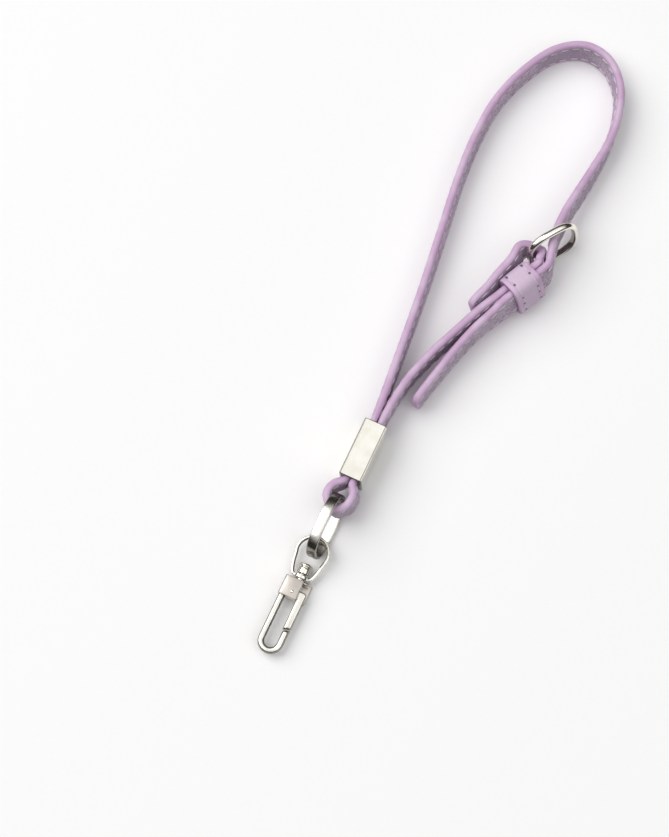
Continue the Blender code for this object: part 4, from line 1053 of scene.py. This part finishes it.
def rivet_mesh():
    """A dome, (1 - r^2) of its height, on a straight shank that runs in to the strand."""
    right = Vector((math.cos(KEEPER_TURN), -math.sin(KEEPER_TURN), 0.0))
    upright = Vector((0.0, 0.0, 1.0))
    axis = right * math.cos(KEEPER_LEAN) + upright * math.sin(KEEPER_LEAN)
    up = upright * math.cos(KEEPER_LEAN) - right * math.sin(KEEPER_LEAN)
    along = -KEEPER_LENGTH / 2 - RIVET_FROM_KEEPER
    spot = Vector((*plan_point(KEEPER_PLACE, 0.0, along), KEEPER_MIDDLE.z))
    corners = np.array([tuple(v.co) for v in frame["nodes"]["rivet"].data.vertices])
    reach = (corners - np.array(spot)) @ np.array(axis)
    top, foot = reach.min(), reach.max()
    seat = top + RIVET_HEAD_HEIGHT
    dome = [(top + RIVET_HEAD_HEIGHT * share ** 2, RIVET_HEAD_RADIUS * share)
            for share in np.linspace(0.03, 1.0, 9)]
    profile = dome + [(seat + RIVET_LIP, 0.96 * RIVET_HEAD_RADIUS),
                      (seat + 1.5 * RIVET_LIP, RIVET_RADIUS), (foot, RIVET_RADIUS)]
    points = placed(turned_points(profile, 32), facing(spot, up, axis))
    return grid_mesh("rivet_metal", points, round_second=True)


show("rivet_metal", rivet_mesh(), polished_nickel, "strap_body", "polished_metal", "rivet")


# The sleeve.
# A clamp folded from plated zinc strip, closed round both strands beside the ring. Its top is a
# flat polished face, its edges are crisp, and a tool has pressed two dimples into its right side.

SLEEVE_SIDE_WALL = 1.0 * MM
SLEEVE_FLOOR_WALL = 0.9 * MM
SLEEVE_EDGE = 0.38 * MM
SLEEVE_HEIGHT = STRAP_WIDTH + 2.0 * GAP + 2.0 * SLEEVE_FLOOR_WALL
SLEEVE_INNER_WIDTH = 2.0 * SLEEVE_STRAND + 3.0 * GAP
SLEEVE_WIDTH = SLEEVE_INNER_WIDTH + 2.0 * SLEEVE_SIDE_WALL
SLEEVE_END = 0.22 * MM
DIMPLE_RADIUS = 1.15 * MM
DIMPLE_DEPTH = 0.38 * MM
DIMPLE_RISE = 2.6 * MM
DIMPLE_SPACING = 8.4 * MM
DIMPLE_OFFSET = -0.4 * MM
DIMPLE_NARROWING = 1.3
SEAM_INSET = 0.42 * MM
SEAM_REACH = 0.144 * MM
SEAM_FADE = 0.09 * MM
# The top's left edge gets painted shade. The deepest share caps both the painted shade and the seam.
LEFT_REACH = 0.488 * MM
LEFT_FADE = 0.12 * MM
LEFT_PAINTED_SHADE = 0.85
DEEPEST_SEAM_AND_SHADE = 0.9


def sleeve_mesh():
    """A rounded rectangle tube along Y; each dimple is a paraboloid pressed into its right side.

    A near-black colour lies as a real dark seam along the top, and as painted shade along the top's
    left edge, in the dimples, round both ends and inside.
    """
    outline, outward, _, _ = rounded_rectangle(
        SLEEVE_WIDTH / 2, SLEEVE_HEIGHT / 2, SLEEVE_EDGE, 7, 62)
    half = SLEEVE_LENGTH / 2
    angles = np.linspace(-math.pi / 2, 0.0, 5)
    start = np.stack([SLEEVE_END * (np.cos(angles) - 1),
                      -half + SLEEVE_END + SLEEVE_END * np.sin(angles)], axis=1)
    along = np.linspace(-half + SLEEVE_END, half - SLEEVE_END, 105)
    outer = np.stack([np.zeros_like(along), along], axis=1)
    profile = np.vstack([start[:-1], outer, (start * (1, -1))[::-1][1:]])
    outside = hoop_points(outline, outward, profile)
    bore = np.array([SLEEVE_INNER_WIDTH / 2, SLEEVE_HEIGHT / 2 - SLEEVE_FLOOR_WALL])
    inside = [np.column_stack([np.clip(outline, -bore, bore), np.full(len(outline), depth)])[:, None]
              for depth in (half, 0.5 * half, -0.5 * half, -half)]
    points = np.concatenate([outside] + inside, axis=1)
    outer_count, end_count = outside.shape[1], len(start) - 1
    top = outward[:, 1] > 0.6
    seam = within(np.abs(SLEEVE_WIDTH / 2 - outline[:, 0] - SEAM_INSET), SEAM_REACH, SEAM_FADE)
    # Painted shade along the top's left edge.
    left = LEFT_PAINTED_SHADE * within(SLEEVE_WIDTH / 2 + outline[:, 0], LEFT_REACH, LEFT_FADE)
    # Painted shade round both ends and inside. The top's outer face gets the real seam and the painted
    # left edge.
    seam_and_painted_shade = np.full(points.shape[:2], PAINTED_SHADE_SHARE)
    seam_and_painted_shade[:, end_count:outer_count - end_count] = (top * np.maximum(seam, left))[:, None]
    for spot in (DIMPLE_OFFSET - DIMPLE_SPACING / 2, DIMPLE_OFFSET + DIMPLE_SPACING / 2):
        upward = (outside[..., 1] - DIMPLE_RISE) * DIMPLE_NARROWING
        near = np.hypot(upward, outside[..., 2] - spot) / DIMPLE_RADIUS
        right = outside[..., 0] > 0.49 * SLEEVE_WIDTH
        dent = np.clip(1 - near ** 2, 0.0, None) * right
        points[:, :outer_count, 0] -= DIMPLE_DEPTH * dent
        # Painted shade in each dimple.
        seam_and_painted_shade[:, :outer_count] += dent
    swap = Matrix(((1, 0, 0, 0), (0, 0, 1, 0), (0, 1, 0, 0), (0, 0, 0, 1)))
    points = placed(points, Matrix.Translation(SLEEVE_MIDDLE) @ swap)
    seam_and_painted_shade = np.clip(seam_and_painted_shade, 0.0, DEEPEST_SEAM_AND_SHADE)
    return grid_mesh("sleeve_metal", points, True, True, {"seam_and_painted_shade": seam_and_painted_shade})


show("sleeve_metal", sleeve_mesh(), polished_nickel, "strap_body", "polished_metal", "sleeve")


# The ring.
# An oval bent from flat plated strip and butted shut, with softened edges. It stands in the
# strap's fold and carries the snap hook's eye.

RING_LENGTH = 18.2 * MM
RING_HEIGHT = 13.4 * MM
RING_STRIP = 2.8 * MM
RING_WALL = 0.9 * MM
RING_ROUNDNESS = 2.5
RING_CORNER = 0.28 * MM
RING_CROWN = 0.10 * MM
RING_PAINTED_SHADE = 0.66


def ring_mesh():
    """A flat strip's section, crowned outside by 1 - t^2, carried round the oval."""
    outline, outward = superellipse(RING_LENGTH / 2, RING_HEIGHT / 2, RING_ROUNDNESS, 160)
    section, _, _, _ = rounded_rectangle(RING_WALL / 2, RING_STRIP / 2, RING_CORNER, 6, 6)
    crown = RING_CROWN * (1 - (section[:, 1] / (RING_STRIP / 2)) ** 2) * (section[:, 0] > 0)
    depth = section[:, 0] - RING_WALL / 2 + crown - RING_CROWN / 2
    points = hoop_points(outline, outward, np.stack([depth, section[:, 1]], axis=1))
    # Painted shade and painted dark reflection towards both bends of the ring.
    from_bend = 1.0 - np.abs(outline[:, 0]) / (RING_LENGTH / 2)
    seam_and_painted_shade = RING_PAINTED_SHADE * within(from_bend, 0.80, 0.55)[:, None]
    placing = leaning_matrix(0.0, RING_LEAN, RING_MIDDLE)
    return grid_mesh("ring_metal", placed(points, placing), True, True, {"seam_and_painted_shade": seam_and_painted_shade})


show("ring_metal", ring_mesh(), satin_nickel, "strap_body", "satin_metal", "ring")


# The swivel eye and its pin.
# The eye is a domed strip bent to a rounded D, with a boss that the pin passes through. The
# pin has a bright collar and a domed head inside the eye, and turns with the hook.

EYE_WIDTH = 9.6 * MM
EYE_LENGTH = 12.3 * MM
EYE_BASE = 6.0 * MM
EYE_WALL = 1.0 * MM
EYE_HEIGHT = 1.4 * MM
EYE_PAINTED_SHADE = 0.8
EYE_BOSS_RADIUS = 2.2 * MM
EYE_BOSS_SINK = 0.12 * EYE_WALL
EYE_BOSS_CORNER = 0.22 * MM
EYE_Y_FROM_SWIVEL = 2 * GAP
PIN_RADIUS = 0.9 * MM
PIN_FLANGE_RADIUS = 1.5 * MM
PIN_FLANGE_LENGTH = 0.6 * MM
PIN_CORNER = 0.2 * MM
PIN_COLLAR_RADIUS = 1.7 * MM
PIN_COLLAR_LENGTH = 2.1 * MM
PIN_HEAD_RADIUS = 2.0 * MM
PIN_HEAD_LENGTH = 1.0 * MM
HOUSING_WALL = 0.8 * MM
SWIVEL = Vector(frame["joints"][0]["pos_m"])
PIVOT = Vector(frame["joints"][1]["pos_m"])
POLE_RADIUS = 0.05 * MM
# across: share of EYE_WIDTH / 2 for the shoulder, then of EYE_BASE / 2; rise: share of EYE_WALL
EYE_SHOULDER = (0.83, 2.9)
EYE_CORNERS = [(1.0, 0.45), (0.7, 0.0), (0.25, 0.0)]


def squarish(half_width, half_height, power, count):
    """A closed section |cos|^n + |sin|^n, evenly turned, between a round and a square."""
    turn = np.arange(count) * 2 * math.pi / count
    size = (np.abs(np.cos(turn)) ** power + np.abs(np.sin(turn)) ** power) ** (-1 / power)
    return np.stack([half_width * size * np.cos(turn), half_height * size * np.sin(turn)], axis=1)


def eye_mesh():
    """A domed strip carried round the eye's outline: a round far end drawn in to a flat base."""
    radius = EYE_WIDTH / 2
    angles = np.radians(np.linspace(-20.0, 200.0, 13))
    round_part = np.stack([radius * np.cos(angles),
                           EYE_LENGTH - radius + radius * np.sin(angles)], axis=1)
    right = np.array([(EYE_SHOULDER[0] * radius, EYE_SHOULDER[1] * EYE_WALL)]
                     + [(across * EYE_BASE / 2, rise * EYE_WALL) for across, rise in EYE_CORNERS])
    sparse = np.vstack([round_part, right * (-1, 1), right[::-1]])
    closed = np.vstack([sparse[-2:], sparse, sparse[:2]])
    smooth = smooth_curve(np.column_stack([closed, np.zeros(len(closed))]), 8)[16:-16, :2]
    tangent = np.roll(smooth, -1, axis=0) - np.roll(smooth, 1, axis=0)
    outward = np.stack([tangent[:, 1], -tangent[:, 0]], axis=1)
    outward /= np.linalg.norm(outward, axis=1)[:, None]
    profile = squarish(EYE_WALL / 2, EYE_HEIGHT / 2, 3.0, 20) - (EYE_WALL / 2, 0.0)
    spot = Vector((SWIVEL.x, SWIVEL.y + EYE_Y_FROM_SWIVEL, SWIVEL.z))
    points = placed(hoop_points(smooth, outward, profile), Matrix.Translation(spot))
    # Painted shade on the eye's inner side.
    from_inside = 1.0 + profile[:, 0] / EYE_WALL
    seam_and_painted_shade = EYE_PAINTED_SHADE * within(from_inside, 0.50, 0.25)[None, :]
    return grid_mesh("eye_metal", points, True, True, {"seam_and_painted_shade": seam_and_painted_shade})


def boss_mesh():
    """A washer round the pin: its flat faces and rims turned round the swivel's axis."""
    low = SWIVEL.y + EYE_Y_FROM_SWIVEL - EYE_BOSS_SINK
    high = low + EYE_WALL
    inner, outer = PIN_RADIUS + GAP, EYE_BOSS_RADIUS
    corners = [(low, inner), (low, outer), (high, outer), (high, inner)]
    profile = softened([*corners, corners[0], corners[1]], EYE_BOSS_CORNER)[1:-1]
    points = turned_points(profile, 40) + np.array([SWIVEL.x, 0.0, SWIVEL.z])
    return grid_mesh("eye_boss", points, True, True)


def pin_mesh():
    """The pin's outline turned round the swivel's axis, with its corners softened."""
    inside = SWIVEL.y - HOUSING_WALL - GAP
    collar = SWIVEL.y + EYE_Y_FROM_SWIVEL + EYE_WALL + GAP
    head = collar + PIN_COLLAR_LENGTH
    profile = [
        (inside - PIN_FLANGE_LENGTH, POLE_RADIUS), (inside - PIN_FLANGE_LENGTH, PIN_FLANGE_RADIUS),
        (inside, PIN_FLANGE_RADIUS), (inside, PIN_RADIUS), (collar, PIN_RADIUS),
        (collar, PIN_COLLAR_RADIUS), (collar + 0.72 * PIN_COLLAR_LENGTH, PIN_COLLAR_RADIUS),
        (head - 0.12 * PIN_COLLAR_LENGTH, 0.74 * PIN_COLLAR_RADIUS),
        (head, PIN_HEAD_RADIUS), (head + 0.5 * PIN_HEAD_LENGTH, 0.95 * PIN_HEAD_RADIUS),
        (head + 0.85 * PIN_HEAD_LENGTH, 0.65 * PIN_HEAD_RADIUS),
        (head + PIN_HEAD_LENGTH, POLE_RADIUS),
    ]
    points = turned_points(softened(profile, PIN_CORNER), 40)
    points += np.array([SWIVEL.x, 0.0, SWIVEL.z])
    return grid_mesh("swivel_pin_metal", points, round_second=True)


def joined(name, *meshes):
    """One mesh of several closed skins."""
    vertices, faces, start = [], [], 0
    for mesh in meshes:
        vertices += [tuple(v.co) for v in mesh.vertices]
        faces += [tuple(start + i for i in polygon.vertices) for polygon in mesh.polygons]
        start = len(vertices)
    whole = bpy.data.meshes.new(name)
    whole.from_pydata(vertices, [], faces)
    whole.shade_smooth()
    shares = []
    for mesh in meshes:
        kept = mesh.attributes.get("seam_and_painted_shade")
        shares += [point.value for point in kept.data] if kept else [0.0] * len(mesh.vertices)
    whole.attributes.new("seam_and_painted_shade", "FLOAT", "POINT").data.foreach_set("value", shares)
    return whole


show("eye_metal", joined("eye_metal", eye_mesh(), boss_mesh()), polished_nickel,
     "strap_body", "polished_metal", "swivel_eye")
show("swivel_pin_metal", pin_mesh(), polished_nickel, "hook_body", "polished_metal", "swivel_pin")


# The snap hook's housing, leg and bow.
# The housing is plated sheet folded to a C that is open on the right, with an end plate that
# the pin turns in. The leg and the bow are one round wire, and the bow's nose meets the gate.

HOUSING_WIDTH = 7.4 * MM
HOUSING_LENGTH = 5.4 * MM
HOUSING_HEIGHT = 5.0 * MM
HOUSING_STEP = 2.2 * MM
HOUSING_BEND = 0.5 * MM
HOUSING_EDGE = 0.18 * MM
END_PLATE_PLAY = 0.04 * MM
END_PLATE_SQUARENESS = 8
HOOK_LENGTH = 21.0 * MM
HOOK_WIDTH = 7.0 * MM
HOOK_WIRE = 1.8 * MM
HOOK_WIRE_HEIGHT = 2.2 * MM
GATE_REACH = 13.2 * MM
GATE_SLANT = 0.4


# along: share of the soft edge's length from the plate's end; inset: share of it taken off
SOFT_END = [(0.0, 1.0), (0.3, 0.3), (1.0, 0.0)]


def plate_run(path, wall, low, high, edge):
    """A folded plate: its middle line (x, z) given a wall, carried along Y with soft ends.

    Each end of the middle line is a half ellipse of the wall, and the plate shrinks by edge at
    both ends of its length.
    """
    steps = np.gradient(path, axis=0)
    steps /= np.linalg.norm(steps, axis=1)[:, None]
    across = np.stack([steps[:, 1], -steps[:, 0]], axis=1)
    half = wall / 2
    angles = np.linspace(math.pi / 2, -math.pi / 2, 7)[1:-1, None]
    bulge, sideways = 0.6 * half * np.cos(angles), half * np.sin(angles)
    tip = path[-1] + bulge * steps[-1] + sideways * across[-1]
    tail = path[0] - bulge * steps[0] - sideways * across[0]
    outline = np.vstack([path + half * across, tip, (path - half * across)[::-1], tail])
    tip_in = np.repeat(-steps[-1:], len(angles), axis=0)
    tail_in = np.repeat(steps[:1], len(angles), axis=0)
    inward = np.vstack([-across, tip_in, across[::-1], tail_in])
    sections = [(low + edge * along, edge * inset) for along, inset in SOFT_END]
    sections += [(high - edge * along, edge * inset) for along, inset in SOFT_END[::-1]]
    layers = []
    for y, inset in sections:
        shrunk = outline + inward * inset
        layers.append(np.column_stack([shrunk[:, 0], np.full(len(outline), y), shrunk[:, 1]]))
    return np.stack(layers)


def housing_mesh():
    """The folded C, a bent line given a wall, and the end plate that closes its rear.

    The end plate runs from the pin's round hole to a rounded square |x/a|^8 + |z/b|^8 = 1.
    """
    left, right = SWIVEL.x - HOUSING_WIDTH / 2, SWIVEL.x + HOUSING_WIDTH / 2
    half = HOUSING_WALL / 2
    inner = 0.3 * HOUSING_WALL
    line = softened([(right - inner, half), (left + half, half),
                     (left + half, HOUSING_HEIGHT - half),
                     (right - HOUSING_STEP - inner, HOUSING_HEIGHT - half)], HOUSING_BEND, 7)
    shell = plate_run(line, HOUSING_WALL, SWIVEL.y - HOUSING_LENGTH, SWIVEL.y, HOUSING_EDGE)
    folded = grid_mesh("folded", shell, round_second=True)
    angles = np.arange(72) * 2 * math.pi / 72
    ray = np.stack([np.cos(angles), np.sin(angles)], axis=1)
    hole = (PIN_RADIUS + GAP) * ray
    reach = (HOUSING_WIDTH / 2 - 0.30 * HOUSING_STEP, HOUSING_HEIGHT / 2 - 0.8 * HOUSING_WALL)
    size = (np.abs(ray / reach) ** END_PLATE_SQUARENESS).sum(axis=1, keepdims=True)
    rim = ray * size ** (-1 / END_PLATE_SQUARENESS)
    back, front = SWIVEL.y - HOUSING_WALL, SWIVEL.y - END_PLATE_PLAY
    layers = [np.column_stack([flat[:, 0] + SWIVEL.x, np.full(72, y), flat[:, 1] + SWIVEL.z])
              for flat, y in ((hole, back), (rim, back), (rim, front), (hole, front))]
    return folded, grid_mesh("end_plate", np.stack(layers), True, True)


def wire_mesh():
    """An oval section carried down the leg, round the bow's half circle and up to the nose.

    A row of the path is x from the swivel, y, and the section's own outward direction as
    (-y, x). The sides, which face along the plan, get painted shade in place of dark reflections.
    """
    radius = (HOOK_WIDTH - HOOK_WIRE) / 2
    bow_y = SWIVEL.y - HOOK_LENGTH + HOOK_WIDTH / 2
    root_y = SWIVEL.y - HOUSING_WALL - GAP
    nose_y = SWIVEL.y - GATE_REACH - GAP
    angles = np.linspace(math.pi, 2 * math.pi, 41)
    bow = np.stack([radius * np.cos(angles), bow_y + radius * np.sin(angles),
                    -np.sin(angles), np.cos(angles)], axis=1)
    leg = np.array([[-radius, y, 0.0, -1.0] for y in np.linspace(root_y, bow_y, 12)[:-1]])
    arm = np.array([[radius, y, 0.0, 1.0] for y in np.linspace(bow_y, nose_y, 6)[1:]])
    path = np.vstack([leg, bow, arm])
    across, height = squarish(HOOK_WIRE / 2, HOOK_WIRE_HEIGHT / 2, 2.6, 28).T
    x = SWIVEL.x + path[:, :1] + across[None] * path[:, 3:4]
    y = path[:, 1:2] - across[None] * path[:, 2:3]
    points = np.stack([x, y, np.broadcast_to(SWIVEL.z + height, x.shape)], axis=2)
    points[-1, :, 1] += GATE_SLANT * (points[-1, :, 0] - SWIVEL.x - radius)
    # Painted shade on both sides of the wire.
    from_side = 1.0 - np.abs(across) / (HOOK_WIRE / 2)
    seam_and_painted_shade = PAINTED_SHADE_SHARE * within(from_side, 0.45, 0.35)[None, :]
    return grid_mesh("hook_wire", points, round_second=True, values={"seam_and_painted_shade": seam_and_painted_shade})


brushed_nickel = metal_material(
    "brushed_nickel", bright=(0.62, 0.58, 0.53, 1.0), dull=(0.52, 0.48, 0.44, 1.0),
    roughness=0.30, scratch_depth=0.02 * MM)
show("hook_metal", wire_mesh(), satin_nickel, "hook_body", "satin_metal", "hook")
show("housing_metal", joined("housing_metal", *housing_mesh()), brushed_nickel,
     "hook_body", "satin_metal")


# The gate and its pin.
# A bar of plated zinc that a spring in the housing presses against the bow's nose. The pin
# is peened over on both plates, and shows as a small round dot.

GATE_WIDTH = 2.0 * MM
GATE_THICKNESS = 2.2 * MM
GATE_HUB_RADIUS = 1.1 * MM
GATE_EDGE = 0.45 * MM
GATE_CORNER = 0.25 * MM
GATE_PIN_RADIUS = 0.4 * MM
GATE_PIN_HEAD = 0.12 * MM
GATE_PIN_CHAMFER = 0.1 * MM
GATE_PIN_PAINTED_SHADE = 0.8


def outline_plate(outline, depth, edge, centre):
    """A plate of an outline: its border is a quarter circle of edge towards each face."""
    outline = np.array(outline)
    tangent = np.roll(outline, -1, axis=0) - np.roll(outline, 1, axis=0)
    inward = np.stack([-tangent[:, 1], tangent[:, 0]], axis=1)
    inward /= np.linalg.norm(inward, axis=1)[:, None]
    angles = np.linspace(math.pi / 2, 0.0, 5)
    lower = [(-depth / 2 + edge * (1 - math.sin(a)), edge * (1 - math.cos(a))) for a in angles]
    sections = lower + [(-z, inset) for z, inset in lower[::-1]]
    layers = [np.column_stack([outline + inward * inset, np.full(len(outline), z)])
              for z, inset in sections]
    return np.stack(layers) + np.array(centre)


def gate_mesh():
    """The gate's outline from above, seen as lug, shoulder and bar, with soft borders."""
    outer = HOOK_WIDTH / 2 - (PIVOT.x - SWIVEL.x)
    inner = outer - GATE_WIDTH
    reach = GATE_REACH - (SWIVEL.y - PIVOT.y)
    slant = GATE_SLANT * GATE_WIDTH / 2
    hub = GATE_HUB_RADIUS
    corners = [(outer, -0.2 * reach), (outer, 0.6 * hub), (outer - 0.4 * hub, hub), (0.0, hub),
               (-0.7 * hub, 0.7 * hub), (-hub, 0.0), (-0.7 * hub, -0.7 * hub), (0.0, -hub),
               (0.5 * inner, -hub), (inner, -1.4 * hub), (inner, -reach - slant),
               (outer, -reach + slant), (outer, -0.2 * reach)]
    outline = softened(corners, GATE_CORNER, 5)[:-1]
    layers = outline_plate(outline, GATE_THICKNESS, GATE_EDGE, PIVOT)
    # Painted shade on the gate's sides, between its top and bottom faces.
    from_middle = np.abs(layers[:, :1, 2] - PIVOT.z) / (GATE_THICKNESS / 2)
    seam_and_painted_shade = PAINTED_SHADE_SHARE * within(from_middle, 1.02, 0.30)
    return grid_mesh("gate_metal", layers, round_second=True, values={"seam_and_painted_shade": seam_and_painted_shade})


def gate_pin_mesh():
    """A straight pin with a chamfered foot and a low head above the top plate."""
    half = HOUSING_HEIGHT / 2
    pole = 0.2 * GATE_PIN_CHAMFER
    profile = [(-half, pole), (-half + pole, 0.8 * GATE_PIN_RADIUS),
               (-half + GATE_PIN_CHAMFER, GATE_PIN_RADIUS), (half, GATE_PIN_RADIUS),
               (half + 0.08 * MM, 0.8 * GATE_PIN_RADIUS), (half + GATE_PIN_HEAD, pole)]
    upright = Matrix.Translation(PIVOT) @ Matrix.Rotation(math.radians(90), 4, "X")
    points = placed(turned_points(profile, 24), upright)
    # Painted shade on the pin's shank.
    rim = np.array([radius >= GATE_PIN_RADIUS for _, radius in profile])
    seam_and_painted_shade = GATE_PIN_PAINTED_SHADE * rim[:, None]
    return grid_mesh("gate_pin_metal", points, round_second=True, values={"seam_and_painted_shade": seam_and_painted_shade})


show("gate_metal", gate_mesh(), polished_nickel, "gate_body", "polished_metal", "gate")
show("gate_pin_metal", gate_pin_mesh(), polished_nickel, "hook_body", "polished_metal", "gate_pin")
